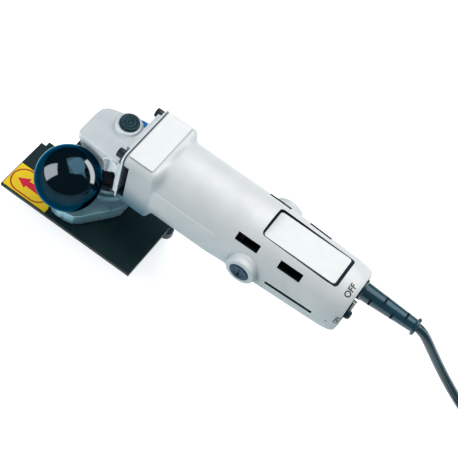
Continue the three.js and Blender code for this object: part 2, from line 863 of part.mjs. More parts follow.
function crownGear() {
  const rim = crownPitchRadius + crownRim;
  const floor = crownTopAt(crownPitchRadius) - crownThick;
  let body = turned([
    [floor, spindleTopRadius + seatGap],
    [floor, rim],
    [crownTopAt(rim), rim],
    [crownTopAt(crownInnerRadius), crownInnerRadius],
    [crownTopAt(crownInnerRadius), spindleTopRadius + seatGap],
    [floor, spindleTopRadius + seatGap],
  ], "z", onSpindle, largeSides);
  const width = (toothShare * 2 * Math.PI * crownPitchRadius) / crownTeeth;
  for (let i = 0; i < crownTeeth; i += 1) {
    const groove = new THREE.BoxGeometry(rim - crownInnerRadius, width, 2 * toothDepth);
    groove.rotateY(Math.atan2(pinionPitchRadius, crownPitchRadius));
    groove.translate((rim + crownInnerRadius) / 2 + seatGap, 0, crownTopAt((rim + crownInnerRadius) / 2));
    groove.rotateZ((i * 2 * Math.PI) / crownTeeth);
    body = cut(body, solid(groove));
  }
  const first = Math.atan2(lockY, lockX);
  for (let i = 0; i < crownHoleCount; i += 1) {
    const turn = first + (i * 2 * Math.PI) / crownHoleCount;
    const centre = upright(lockPinCircle * Math.cos(turn), lockPinCircle * Math.sin(turn));
    body = cut(body, rod(floor + crownThick / 3, motorAxis, lockPinRadius + seatGap, "z", centre,
      smallSides));
  }
  return body;
}

function pinion() {
  const slope = pinionPitchRadius / crownPitchRadius;
  const bore = shaftNoseRadius + seatGap;
  const back = crownPitchRadius + crownRim;
  let body = turned([
    [shaftFront, bore],
    [shaftFront, shaftFront * slope],
    [back, back * slope - seatGap],
    [back + crownRim, back * slope],
    [back + pinionTail, back * slope],
    [back + pinionTail, bore],
    [shaftFront, bore],
  ], "x", onMotorAxis, 2 * pinionTeeth);
  const width = (toothShare * 2 * Math.PI * pinionPitchRadius) / pinionTeeth / 2;
  for (let i = 0; i < pinionTeeth; i += 1) {
    const groove = new THREE.BoxGeometry(back - shaftFront, toothDepth, width);
    groove.translate((back + shaftFront) / 2 + cutOverrun, back * slope, 0);
    groove.rotateX(((i + 0.5) * 2 * Math.PI) / pinionTeeth);
    groove.translate(0, 0, motorAxis);
    body = cut(body, solid(groove));
  }
  return body;
}

function armatureShaft() {
  const neck = crownPitchRadius + crownRim + pinionTail + seatGap;
  return turned([
    [shaftFront, 0],
    [shaftFront, shaftNoseRadius],
    [neck, shaftNoseRadius],
    [neck, shaftRadius],
    [shaftBack, shaftRadius],
    [shaftBack, 0],
  ], "x", onMotorAxis, smallSides);
}

// Neck below the gear head: it holds the two spindle bearings and guides the casting
const neckTop = headFloor + plateTop - seatGap;

function bearingNeck() {
  const lowSeat = lowerBearingFloor + spindleBearingHigh + seatGap;
  const highSeat = upperBearingFloor - seatGap;
  const seat = spindleBearingRadius + seatGap;
  return turned([
    [neckFloor, seat],
    [neckFloor, neckRadius],
    [neckTop, neckRadius],
    [neckTop, seat],
    [highSeat, seat],
    [highSeat, neckBore],
    [lowSeat, neckBore],
    [lowSeat, seat],
    [neckFloor, seat],
  ], "z", onSpindle, largeSides);
}

function spindleBearing(floor) {
  return tube(floor, floor + spindleBearingHigh, spindleBearingRadius, spindleRadius + seatGap, "z",
    onSpindle, mediumSides);
}

function shaftBearing(start, wide, radius) {
  return tube(start, start + wide, radius, shaftRadius + seatGap, "x", onMotorAxis, mediumSides);
}

function spindle() {
  const crownFloor = crownTopAt(crownPitchRadius) - crownThick;
  const nose = cutterTop() + seatGap;
  const screwHole = rod(cutterTop() - 2 * cutterLand - cutOverrun,
    cutterFloor() + cutterScrewReach + seatGap, cutterScrewRadius + seatGap, "z", onSpindle, smallSides);
  const shaft = turned([
    [cutterTop() - cutterLand * 2, 0],
    [cutterTop() - cutterLand * 2, spindleNoseRadius],
    [nose, spindleNoseRadius],
    [nose, spindleRadius],
    [crownFloor - seatGap, spindleRadius],
    [crownFloor - seatGap, spindleTopRadius],
    [crownTopAt(0) - crownRim, spindleTopRadius],
    [crownTopAt(0) - crownRim, 0],
  ], "z", onSpindle, mediumSides);
  return cut(shaft, screwHole);
}

// Cone cutter, its inserts and the screw that holds it
function cutterFloor() {
  return plateFloor - cutterReach;
}

function cutterTop() {
  return cutterFloor() + (cutterRadius - cutterTipRadius) + cutterLand;
}

function insertBlank(turn, grow) {
  const slope = (cutterRadius - cutterTipRadius) * Math.SQRT2;
  const geometry = new THREE.BoxGeometry(cutterInsertDeep + grow, cutterInsertWide + grow,
    slope * cutterInsertShare + grow);
  geometry.rotateY(Math.PI / 4);
  geometry.translate((cutterRadius + cutterTipRadius) / 2 - cutterInsertDeep / 2, 0,
    (cutterFloor() + cutterTop() - cutterLand) / 2 + cutterInsertDeep / 4);
  geometry.rotateZ(turn);
  return solid(geometry);
}

function insertTurn(i) {
  return (i * 2 * Math.PI) / cutterInsertCount;
}

function cutterHead() {
  const floor = cutterFloor();
  let body = turned([
    [floor, 0],
    [floor, cutterTipRadius],
    [floor + cutterRadius - cutterTipRadius, cutterRadius],
    [cutterTop(), cutterRadius],
    [cutterTop(), 0],
  ], "z", onSpindle, mediumSides);
  const bore = rod(cutterTop() - 2 * cutterLand - seatGap, cutterTop() + cutOverrun,
    spindleNoseRadius + seatGap, "z", onSpindle, smallSides);
  const screwHole = rod(floor - cutOverrun, cutterTop(), cutterScrewRadius + seatGap, "z", onSpindle,
    smallSides);
  body = cut(body, bore, screwHole);
  for (let i = 0; i < cutterInsertCount; i += 1) {
    body = cut(body, insertBlank(insertTurn(i), 2 * seatGap));
  }
  return body;
}

function cutterScrew() {
  const floor = cutterFloor() - seatGap;
  return join(
    rod(floor - cutterScrewHeadHigh, floor, cutterScrewHead, "z", onSpindle, 6),
    rod(floor - seatGap, cutterFloor() + cutterScrewReach, cutterScrewRadius, "z", onSpindle, smallSides),
  );
}

// Armature
function fan() {
  let body = join(
    tube(fanStart, fanStart + fanHubLength, fanHubRadius, shaftRadius + seatGap, "x", onMotorAxis,
      mediumSides),
    tube(fanStart + fanHubLength - fanDiscThick, fanStart + fanHubLength, fanRadius,
      shaftRadius + seatGap, "x", onMotorAxis, mediumSides),
  );
  for (let i = 0; i < fanBladeCount; i += 1) {
    const length = fanHubLength - fanDiscThick / 2;
    const blade = new THREE.BoxGeometry(length, fanRadius - fanHubRadius, fanBladeThick);
    blade.translate(fanStart + length / 2, (fanRadius + fanHubRadius) / 2 - seatGap, 0);
    blade.rotateX((i * 2 * Math.PI) / fanBladeCount);
    blade.translate(0, 0, motorAxis);
    body = join(body, solid(blade));
  }
  return body;
}

function armatureCore() {
  let body = tube(coreStart, coreStart + coreLength, armatureRadius, shaftRadius + seatGap, "x", onMotorAxis,
    mediumSides);
  for (let i = 0; i < armatureSlotCount; i += 1) {
    const slot = new THREE.BoxGeometry(coreLength + 2 * cutOverrun, armatureSlotDeep, armatureSlotWide);
    slot.translate(coreStart + coreLength / 2, armatureRadius, 0);
    slot.rotateX((i * 2 * Math.PI) / armatureSlotCount);
    slot.translate(0, 0, motorAxis);
    body = cut(body, solid(slot));
  }
  return join(body, armatureWinding(coreStart - windingLength), armatureWinding(coreStart + coreLength));
}

function armatureWinding(start) {
  const end = start + windingLength;
  const bore = shaftRadius + seatGap;
  return turned([
    [start, bore],
    [start, windingRadius - windingLength / 4],
    [start + windingLength / 4, windingRadius],
    [end - windingLength / 4, windingRadius],
    [end, windingRadius - windingLength / 4],
    [end, bore],
    [start, bore],
  ], "x", onMotorAxis, mediumSides);
}

function commutator() {
  let body = tube(commutatorStart, commutatorStart + commutatorLength, commutatorRadius,
    shaftRadius + seatGap, "x", onMotorAxis, 2 * commutatorBarCount);
  for (let i = 0; i < commutatorBarCount; i += 1) {
    const groove = new THREE.BoxGeometry(commutatorLength + 2 * cutOverrun, commutatorGroove,
      commutatorGroove);
    groove.translate(commutatorStart + commutatorLength / 2, commutatorRadius, 0);
    groove.rotateX(((i + 0.5) * 2 * Math.PI) / commutatorBarCount);
    groove.translate(0, 0, motorAxis);
    body = cut(body, solid(groove));
  }
  return body;
}

// Brush gear on one side: the pieces are made along +Y and turned to their side
function brushParts(side) {
  const axisSign = side < 0 ? "near" : "far";
  const wrap = (low, high) => box(
    [brushX - high[0], side < 0 ? -high[1] : low[1], motorAxis - high[2]],
    [brushX + high[0], side < 0 ? -low[1] : high[1], motorAxis + high[2]],
  );
  const capFloor = brushBossFace + brushCapProud - brushCapThick;
  const brushInner = commutatorRadius + runningGap;
  const brushOuter = capFloor - 2 * seatGap - brushSpringLength;
  const holderHalf = [brushWide / 2 + seatGap + holderWall, brushHigh / 2 + seatGap + holderWall];
  const holder = cut(
    wrap([0, holderInner], [holderHalf[0], capFloor - seatGap, holderHalf[1]]),
    wrap([0, holderInner - cutOverrun],
      [brushWide / 2 + seatGap, capFloor + cutOverrun, brushHigh / 2 + seatGap]),
  );
  const brush = wrap([0, brushInner], [brushWide / 2, brushOuter, brushHigh / 2]);
  const spring = helix(brushSpringRadius, brushSpringWire, brushSpringTurns, brushOuter + seatGap,
    capFloor - seatGap, [0, 0, 0]);
  spring.rotateX(side < 0 ? Math.PI / 2 : -Math.PI / 2);
  spring.translate(brushX, 0, motorAxis);
  const centre = [brushX, 0, motorAxis];
  const capTop = capFloor + brushCapThick;
  const slotSize = [brushCapSlotWide / 2, brushCapRadius + cutOverrun];
  let cap = turned([
    [capFloor, 0],
    [capFloor, brushCapRadius],
    [capTop - brushCapProud, brushCapRadius],
    [capTop, brushCapRadius - brushCapProud],
    [capTop, 0],
  ], side < 0 ? "-y" : "y", centre, mediumSides);
  cap = cut(cap, wrap([0, capTop - brushCapSlotDeep], [slotSize[0], capTop + cutOverrun, slotSize[1]]));
  place(`brush_holder_${axisSign}`, holder, "brass");
  place(`carbon_brush_${axisSign}`, brush, "carbon");
  place(`brush_spring_${axisSign}`, solid(spring), "steel");
  place(`brush_cap_${axisSign}`, cap, "blackPlastic");
}

// Switch with a turn lever on the tail face
function switchBody() {
  const back = tailPlate - tailWall - seatGap;
  const body = box([back - switchDeep, -switchHalfWide, motorAxis + switchUp - switchHalfHigh],
    [back, bootSide - bootStemRadius - runningGap, motorAxis + switchUp + switchHalfHigh]);
  const socket = rod(back - switchDeep / 3, back + cutOverrun, switchShaftRadius + seatGap, "x",
    [0, 0, motorAxis + switchUp], smallSides);
  return cut(body, socket);
}

function leverPiece(start, end, radius, sides) {
  const geometry = new THREE.CylinderGeometry(radius, radius, end - start, sides);
  geometry.translate(0, (start + end) / 2, 0);
  return geometry;
}

// Turns a piece made along +Y from the switch shaft to the lever's rest direction
function atLever(geometry) {
  geometry.rotateX(THREE.MathUtils.degToRad(switchRestDegrees));
  geometry.translate(tailPlate + switchLeverStandoff, 0, motorAxis + switchUp);
  return solid(geometry);
}

function switchLever() {
  const centre = [0, 0, motorAxis + switchUp];
  const back = tailPlate - tailWall - seatGap;
  const leverX = tailPlate + switchLeverStandoff;
  const shaft = rod(back - switchDeep / 3 + seatGap, leverX, switchShaftRadius, "x", centre, smallSides);
  const hub = rod(tailPlate + seatGap, leverX + switchHubThick, switchHubRadius, "x", centre,
    smallSides);
  return join(shaft, hub, atLever(leverPiece(0, switchLeverLength, switchLeverRadius, smallSides)));
}

function switchTip() {
  const start = switchLeverLength - switchTipLength / 2;
  const profile = [
    [start, 0],
    [start, switchLeverRadius + 3 * seatGap],
    [start + switchTipLength / 4, switchTipRadius],
    [start + (3 * switchTipLength) / 4, switchTipRadius],
    [start + switchTipLength, switchTipRadius / 2],
    [start + switchTipLength, 0],
  ];
  const points = profile.map(([along, radius]) => new THREE.Vector2(radius, along));
  const knob = atLever(new THREE.LatheGeometry(points, smallSides));
  const bore = atLever(leverPiece(start - cutOverrun, switchLeverLength + seatGap,
    switchLeverRadius + seatGap, smallSides));
  return cut(knob, bore);
}

// Strain relief: collar, notched taper and end ring
const bootBack = tailPlate + seatGap;
const bootCentre = [0, bootSide, motorAxis + bootUp];

function strainRelief() {
  const profile = [
    [bootBack - bootStemLength, 0],
    [bootBack - bootStemLength, bootStemRadius],
    [bootBack, bootStemRadius],
    [bootBack, bootCollarRadius],
    [bootBack + bootCollarThick, bootCollarRadius],
    [bootBack + bootCollarThick, bootRootRadius],
  ];
  const taperStart = bootBack + bootCollarThick;
  const ringStart = bootBack + bootLength - bootRingThick;
  const taperLength = ringStart - taperStart;
  for (let i = 1; i <= bootNotchCount; i += 1) {
    const share = i / (bootNotchCount + 1);
    const at = taperStart + taperLength * share;
    const radius = bootRootRadius + (bootTipRadius - bootRootRadius) * share;
    profile.push([at - bootNotchWide / 2, radius], [at - bootNotchWide / 2, radius - bootNotchDeep]);
    profile.push([at + bootNotchWide / 2, radius - bootNotchDeep], [at + bootNotchWide / 2, radius]);
  }
  profile.push([ringStart, bootTipRadius], [ringStart, bootRingRadius]);
  profile.push([bootBack + bootLength, bootRingRadius], [bootBack + bootLength, 0]);
  return turned(profile, "x", bootCentre, mediumSides);
}

// Cord: a free stretch from the strain relief to the floor, then the coil and the plug
const cordFloor = cordRadius - cordFlat;
const coilTop = cordFloor + coilPitch;

function cordRoute() {
  return [
    [299.6, 107.5],
    [301.6, 107.5],
    [307, 104.6],
    [313.5, 98.4],
    [322, 89.2],
    [332, 78.6],
    [343, 67.6],
    [355, 56.6],
    [367, 46.6],
    [379, 37.4],
    [391, 29.2],
    [403, 22.2],
    [416, 16.6],
    [429, 13.7],
    [439, 13.1],
    [441.7, 13.1],
  ];
}

function cordTube() {
  const points = cordRoute().map(([x, z]) => new THREE.Vector3(x, bootSide, z));
  const curve = new THREE.CatmullRomCurve3(points, false, "centripetal");
  return solid(sweep(curve, cordRadius, cordSides, cordSteps));
}

// Middle line of the coil: it spirals in on the upper layer, drops a layer while it turns back, spirals
// out on the floor and rises a little to the plug
function coilLine() {
  const outer = coilRadius + (coilTurns * coilPitch) / 4;
  const centreY = bootSide - outer;
  const points = [new THREE.Vector3(coilX - coilLead, bootSide, coilTop)];
  points.push(new THREE.Vector3(coilX - coilLead / 2, bootSide, coilTop));
  const steps = coilTurns * coilStepsPerTurn;
  for (let i = 0; i <= steps; i += 1) {
    const turn = i / coilStepsPerTurn;
    const radius = outer - coilPitch * Math.min(turn, coilTurns - turn);
    const drop = THREE.MathUtils.smoothstep(turn, coilTurns / 2 - 1 / 4, coilTurns / 2 + 1 / 4);
    const angle = Math.PI / 2 - turn * 2 * Math.PI;
    points.push(new THREE.Vector3(coilX + radius * Math.cos(angle), centreY + radius * Math.sin(angle),
      coilTop - coilPitch * drop));
  }
  const rise = plugMiddle - cordFloor;
  for (const share of [1 / 5, 2 / 5, 3 / 5, 4 / 5, 1]) {
    points.push(new THREE.Vector3(coilX + coilRiseLength * share, bootSide,
      cordFloor + rise * THREE.MathUtils.smoothstep(share, 2 / 5, 1)));
  }
  points.push(new THREE.Vector3(coilX + coilRiseLength + coilLead, bootSide, plugMiddle));
  return points;
}

// Least gap between turns that pass one another
function coilGap(points) {
  let least = Infinity;
  for (let i = 0; i < points.length; i += 1) {
    for (let j = i + coilStepsPerTurn / 2; j < points.length; j += 1) {
      least = Math.min(least, points[i].distanceTo(points[j]) - 2 * cordRadius);
    }
  }
  return least;
}

function cordCoil() {
  const points = coilLine();
  console.log(`least gap between the turns of the cord ${coilGap(points).toFixed(2)} mm`);
  const curve = new THREE.CatmullRomCurve3(points, false, "centripetal");
  const body = solid(sweep(curve, cordRadius, coilSides, points.length - 1));
  const reach = 4 * coilRadius;
  const below = box([coilX - reach, -reach, -cordRadius], [coilX + reach, reach, 0]);
  return cut(body, below);
}

// Plug with two flat blades
const plugMiddle = plugHigh / 2;
const plugFront = coilX + coilRiseLength + coilLead + seatGap;

function plugBody() {
  const bodyStart = plugFront + plugReliefLength;
  const ring = (x, halfWide, halfHigh, corner) =>
    roundedRing(halfWide, halfHigh, corner).map(([y, z]) => [x, bootSide + y, plugMiddle + z]);
  const half = [plugWide / 2, plugHigh / 2];
  const body = solid(loft([
    ring(plugFront, cordRadius + runningGap, cordRadius + runningGap, cordRadius + runningGap),
    ring(bodyStart, plugReliefRadius, plugReliefRadius, plugReliefRadius),
    ring(bodyStart + plugCorner, half[0], half[1], plugCorner),
    ring(bodyStart + plugLength - plugCorner / 2, half[0], half[1], plugCorner),
    ring(bodyStart + plugLength, half[0] - plugCorner / 2, half[1] - plugCorner / 2, plugCorner / 2),
  ]));
  let result = body;
  for (const side of [-1, 1]) {
    result = cut(result, bladeBlank(side, seatGap, bodyStart + plugLength - bladeRoot));
  }
  return result;
}

function bladeBlank(side, grow, start) {
  const middle = bootSide + side * bladeSpread;
  return box([start, middle - bladeThick / 2 - grow, plugMiddle - bladeHigh / 2 - grow],
    [plugFront + plugReliefLength + plugLength + bladeLength, middle + bladeThick / 2 + grow,
      plugMiddle + bladeHigh / 2 + grow]);
}

function plugBlade(side) {
  return bladeBlank(side, 0, plugFront + plugReliefLength + plugLength - bladeRoot + seatGap);
}

// Guide plate and casting
const castingFloor = plateTop + seatGap;
const castingTop = plateTop + castingWallHigh;
const screwPairs = [[castingScrewX, castingScrewNear], [-castingScrewX, castingScrewFar]];

function guidePlate() {
  const outline = [
    [plateStart, plateNear],
    [plateEnd, plateNear],
    [plateEnd, plateWingFar],
    [plateWingStart, plateWingFar],
    [plateWingStart, plateFarEdge],
    [plateStart, plateFarEdge],
  ];
  let body = prism(outline, plateFloor, plateTop);
  body = cut(body, rod(plateFloor - cutOverrun, plateTop + cutOverrun, plateWindow, "z", onSpindle,
    largeSides));
  for (const [x, y] of screwPairs) {
    body = cut(body, rod(plateFloor - cutOverrun, plateTop + cutOverrun, castingScrewRadius + seatGap, "z",
      upright(x, y), smallSides));
    body = cut(body, rod(plateFloor - cutOverrun, plateFloor + plateThickShare(3),
      castingScrewHead + seatGap, "z", upright(x, y), smallSides));
  }
  for (const [x, y] of knobPlaces) {
    body = cut(body, rod(plateFloor - cutOverrun, plateFloor + knobStudReach + seatGap,
      knobStudRadius + seatGap, "z", upright(x, y), smallSides));
  }
  return body;
}

// Level inside the plate, in quarters of its thickness
function plateThickShare(quarters) {
  return (guidePlateThick * quarters) / 4;
}

function castingScrew([x, y]) {
  const floor = plateFloor + seatGap;
  const shoulder = plateFloor + plateThickShare(3) - seatGap;
  return join(
    rod(floor, shoulder, castingScrewHead, "z", upright(x, y), smallSides),
    rod(floor, castingFloor + castingScrewReach - castingScrewRadius, castingScrewRadius, "z", upright(x, y),
      smallSides),
  );
}

function baseCasting() {
  const lobeMiddle = (castingLobeFront + castingCornerX) / 2;
  const outline = roundedOutline([
    [castingHalf, castingFar, castingRound],
    [castingHalf, castingShoulderNear, 2 * castingRound],
    [castingCornerX, castingCornerNear, castingRound],
    [lobeMiddle + castingRound, castingLobeNear, castingRound],
    [castingLobeFront, castingLobeNear, castingRound],
    [-castingHalf, castingShoulderNear, 2 * castingRound],
    [-castingHalf, castingFar, castingRound],
  ]);
  let body = prism(outline, castingFloor, castingTop);
  body = join(body, turned([
    [castingTop - castingRound, 0],
    [castingTop - castingRound, castingNeckRadius],
    [castingTop, castingNeckRadius],
    [castingTop + castingNeckRise, castingNeckTopRadius],
    [castingTop + castingNeckRise, 0],
  ], "z", onSpindle, largeSides));
  const bore = neckRadius + seatGap;
  body = cut(body, rod(plateTop, castingTop + castingNeckRise + cutOverrun, bore, "z", onSpindle,
    largeSides));
  body = cut(body, rod(castingTop - studRoot - seatGap, castingTop + cutOverrun, studRadius + seatGap, "z",
    upright(handleX, handleY), smallSides));
  for (const [x, y] of screwPairs) {
    body = cut(body, rod(plateTop, castingFloor + castingScrewReach, castingScrewRadius + seatGap, "z",
      upright(x, y), smallSides));
  }
  return cut(body, rod(0, castingFar + cutOverrun, clampScrewRadius + seatGap, "y",
    [0, 0, plateTop + clampAbovePlate], smallSides));
}

function baseClampScrew() {
  const centre = [0, 0, plateTop + clampAbovePlate];
  const face = castingFar + seatGap;
  const head = rod(face, face + clampHeadHigh, clampHeadRadius, "y", centre, mediumSides);
  const stem = rod(neckRadius + seatGap, face + seatGap, clampScrewRadius, "y", centre, smallSides);
  const socket = rod(face + clampHeadHigh / 2, face + clampHeadHigh + cutOverrun, clampScrewRadius, "y",
    centre, 6);
  return cut(join(head, stem), socket);
}

function depthRing() {
  const floor = castingTop + castingNeckRise + seatGap;
  let body = tube(floor, floor + depthRingHigh, depthRingRadius, neckRadius + seatGap, "z", onSpindle,
    largeSides);
  for (let i = 0; i < depthRingNotchCount; i += 1) {
    const turn = (i * 2 * Math.PI) / depthRingNotchCount;
    const notch = new THREE.BoxGeometry(depthRingNotch, depthRingNotch, depthRingHigh / 2);
    notch.rotateZ(Math.PI / 4);
    notch.translate(depthRingRadius, 0, floor + (3 * depthRingHigh) / 4);
    notch.rotateZ(turn);
    body = cut(body, solid(notch));
  }
  return body;
}

// Ball handle on its stud
const ballCentre = plateTop + ballAbovePlate;

function ballKnob() {
  const ball = new THREE.SphereGeometry(ballRadius, ballSides, ballSides / 2);
  ball.rotateX(Math.PI / 2);
  ball.translate(handleX, handleY, ballCentre);
  const bore = rod(ballCentre - 2 * ballRadius, ballCentre - ballRadius + studReach + seatGap,
    studRadius + seatGap, "z", upright(handleX, handleY), smallSides);
  return cut(solid(ball), bore);
}

function ballStud() {
  const centre = upright(handleX, handleY);
  const collar = castingTop + seatGap;
  return join(
    rod(castingTop - studRoot, ballCentre - ballRadius + studReach, studRadius, "z", centre, smallSides),
    rod(collar, collar + studCollarHigh, studCollarRadius, "z", centre, 6),
  );
}

// Side guide: an upright leg with a flat foot that is clamped below the plate
function sideGuide() {
  const top = plateFloor - seatGap;
  const far = sideGuideNear + sideGuideThick;
  const leg = box([sideGuideStart, sideGuideNear, 0], [sideGuideEnd, far, top]);
  const foot = box([footStart, sideGuideNear, top - footThick], [footEnd, footFar, top]);
  let body = join(leg, foot);
  body = cut(body, box([-guideWindowHalf, sideGuideNear - cutOverrun, guideWindowFloor],
    [guideWindowHalf, far + cutOverrun, top + cutOverrun]));
  body = cut(body, box([-footWindowHalf, far, top - footThick - cutOverrun],
    [footWindowHalf, footWindowFar, top + cutOverrun]));
  for (const [x, y] of knobPlaces) {
    const half = knobStudRadius + seatGap;
    body = cut(body, box([x - half, y - knobSlotTravel, top - footThick - cutOverrun],
      [x + half, y + knobSlotTravel, top + cutOverrun]));
    for (const side of [-1, 1]) {
      body = cut(body, rod(top - footThick - cutOverrun, top + cutOverrun, half, "z",
        upright(x, y + side * knobSlotTravel), smallSides));
    }
  }
  return body;
}

function clampKnob([x, y]) {
  const top = plateFloor - seatGap - footThick - seatGap;
  let body = turned([
    [top - knobHigh, 0],
    [top - knobHigh, knobRadius - knobFluteRadius],
    [top - knobHigh + knobFluteRadius, knobRadius],
    [top, knobRadius],
    [top, knobStudRadius],
    [plateFloor + knobStudReach, knobStudRadius],
    [plateFloor + knobStudReach, 0],
  ], "z", upright(x, y), 2 * knobFluteCount);
  for (let i = 0; i < knobFluteCount; i += 1) {
    const turn = (i * 2 * Math.PI) / knobFluteCount;
    body = cut(body, rod(top - knobHigh - cutOverrun, top + seatGap / 2, knobFluteRadius, "z",
      upright(x + knobRadius * Math.cos(turn), y + knobRadius * Math.sin(turn)), 6));
  }
  return body;
}

// Motor unit
place("motor_housing", motorHousing(), "housingPaint");
const recessFloor = motorAxis + barrelRadius - nameplateRecess + seatGap;
place("nameplate", box([nameplateStart, -nameplateHalf, recessFloor],
  [nameplateStart + nameplateLength, nameplateHalf, recessFloor + nameplateThick]), "whitePlate");
const headPlateStart = flangeFace + headPlateMargin;
const headPlateFloor = motorAxis + flangeHalf + seatGap;
place("head_plate", box([headPlateStart, -headPlateHalf, headPlateFloor],
  [headPlateStart + headPlateLength, headPlateHalf, headPlateFloor + headPlateThick]), "whitePlate");
place("gear_housing", gearHousing(), "headCasting");
place("bearing_neck", bearingNeck(), "darkSteel");
screwPlaces().forEach((spot, i) => place(`flange_screw_${i + 1}`, flangeScrew(spot), "darkSteel"));
place("field_core", tube(coreStart, coreStart + coreLength, fieldRadius, fieldBore, "x", onMotorAxis,
  largeSides), "darkSteel");
const coilStarts = {
  front: coreStart - seatGap - fieldCoilLength,
  rear: coreStart + coreLength + seatGap,
};
for (const [end, start] of Object.entries(coilStarts)) {
  place(`field_coil_${end}`, tube(start, start + fieldCoilLength, fieldCoilOuter, fieldCoilInner, "x",
    onMotorAxis, mediumSides), "copper");
}
brushParts(-1);
brushParts(1);
place("switch_body", switchBody(), "blackPlastic");
place("strain_relief", strainRelief(), "rubber");
place("cord", cordTube(), "rubber");
place("cord_coil", cordCoil(), "rubber");
place("plug_body", plugBody(), "rubber");
place("plug_blade_1", plugBlade(-1), "brass");
place("plug_blade_2", plugBlade(1), "brass");

// Armature and gears
place("front_bearing", shaftBearing(frontBearingStart, frontBearingWide, frontBearingRadius), "steel");
place("rear_bearing", shaftBearing(rearWebFace - rearBearingWide - seatGap, rearBearingWide,
  rearBearingRadius), "steel");
place("armature_shaft", armatureShaft(), "steel");
place("armature_core", armatureCore(), "darkSteel");
place("commutator", commutator(), "copper");
place("fan", fan(), "blackPlastic");
place("pinion", pinion(), "steel");
place("spindle_bearing_upper", spindleBearing(upperBearingFloor), "steel");
place("spindle_bearing_lower", spindleBearing(lowerBearingFloor), "steel");
place("spindle", spindle(), "steel");
place("crown_gear", crownGear(), "steel");
place("cutter_head", cutterHead(), "darkSteel");
for (let i = 0; i < cutterInsertCount; i += 1) {
  place(`cutter_insert_${i + 1}`, insertBlank(insertTurn(i), 0), "brass");
}
place("cutter_screw", cutterScrew(), "darkSteel");

// Controls
place("lock_button", lockButton(), "blackPlastic");
place("lock_pin", lockPin(), "steel");
place("lock_spring", lockSpring(), "steel");
place("switch_lever", switchLever(), "chrome");
place("switch_tip", switchTip(), "blackPlastic");

// Base that slides on the neck
place("base_casting", baseCasting(), "castAluminium");
place("ball_knob", ballKnob(), "blackGloss");
place("ball_stud", ballStud(), "steel");
place("guide_plate", guidePlate(), "blackPlate");
place("direction_label", prism([
  [labelStart, labelNear],
  [castingLobeFront - runningGap, labelNear],
  [castingLobeFront - runningGap, castingLobeNear - runningGap],
  [-castingHalf - runningGap, labelFar],
  [labelStart, labelFar],
], plateTop + seatGap, plateTop + seatGap + labelThick), "labelYellow");
screwPairs.forEach((spot, i) => place(`casting_screw_${i + 1}`, castingScrew(spot), "darkSteel"));
place("base_clamp_screw", baseClampScrew(), "darkSteel");
place("depth_ring", depthRing(), "castAluminium");
place("side_guide", sideGuide(), "blackPlate");
knobPlaces.forEach((spot, i) => place(`clamp_knob_${i + 1}`, clampKnob(spot), "blackPlastic"));

export default machine;
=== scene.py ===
import math
import bpy
import bmesh
from mathutils import Matrix, Vector


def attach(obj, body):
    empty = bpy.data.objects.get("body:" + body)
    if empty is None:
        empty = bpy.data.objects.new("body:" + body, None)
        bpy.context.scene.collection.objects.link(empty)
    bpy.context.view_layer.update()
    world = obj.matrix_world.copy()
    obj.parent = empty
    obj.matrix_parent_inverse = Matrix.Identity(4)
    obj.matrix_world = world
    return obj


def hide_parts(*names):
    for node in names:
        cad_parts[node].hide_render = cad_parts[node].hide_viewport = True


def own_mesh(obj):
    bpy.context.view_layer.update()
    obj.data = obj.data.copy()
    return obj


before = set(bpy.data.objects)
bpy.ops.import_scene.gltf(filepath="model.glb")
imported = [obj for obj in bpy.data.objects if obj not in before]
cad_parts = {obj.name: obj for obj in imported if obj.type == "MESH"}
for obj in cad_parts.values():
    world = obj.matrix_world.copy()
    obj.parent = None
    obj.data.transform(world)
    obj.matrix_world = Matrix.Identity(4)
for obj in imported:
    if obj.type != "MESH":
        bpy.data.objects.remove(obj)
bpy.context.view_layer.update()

# Lengths of pieces are in millimetres. X runs along the motor from the spindle, and Z is up.
MM = 0.001
AXIS = 105


def new_item(name, data):
    """Object in the scene that holds a mesh, lamp, camera or text."""
    item = bpy.data.objects.new(name, data)
    bpy.context.scene.collection.objects.link(item)
    return item


# Camera

PHOTO_WIDTH = 458
FOCAL_PIXELS = 1179.645
SENSOR_WIDTH = 36
CAMERA_PLACE = (0.266299, -0.509366, 0.939346)
CAMERA_TURNS = (("Z", 15.7305), ("X", 90 - 58.1803), ("Z", 21.5842))


def add_camera():
    turn = Matrix.Identity(4)
    for axis, degrees in CAMERA_TURNS:
        turn = turn @ Matrix.Rotation(math.radians(degrees), 4, axis)
    data = bpy.data.cameras.new("camera")
    data.sensor_fit = "HORIZONTAL"
    data.sensor_width = SENSOR_WIDTH
    data.lens = FOCAL_PIXELS / PHOTO_WIDTH * SENSOR_WIDTH
    data.clip_start = 0.05
    data.clip_end = 20
    camera = new_item("camera", data)
    camera.matrix_world = Matrix.Translation(CAMERA_PLACE) @ turn
    bpy.context.scene.camera = camera


add_camera()
bpy.context.scene.view_settings.view_transform = "Standard"


# Meshes

def soften(obj, angle=40):
    obj.data.polygons.foreach_set("use_smooth", [True] * len(obj.data.polygons))
    obj.data.set_sharp_from_angle(angle=math.radians(angle))


def add_mesh(name, vertices, faces, smooth):
    """Object whose faces all turn outward, from vertices in metres."""
    mesh = bpy.data.meshes.new(name)
    mesh.from_pydata([tuple(v) for v in vertices], [], faces)
    mesh.validate()
    work = bmesh.new()
    work.from_mesh(mesh)
    bmesh.ops.recalc_face_normals(work, faces=work.faces)
    work.to_mesh(mesh)
    work.free()
    obj = new_item(name, mesh)
    soften(obj, smooth)
    return obj


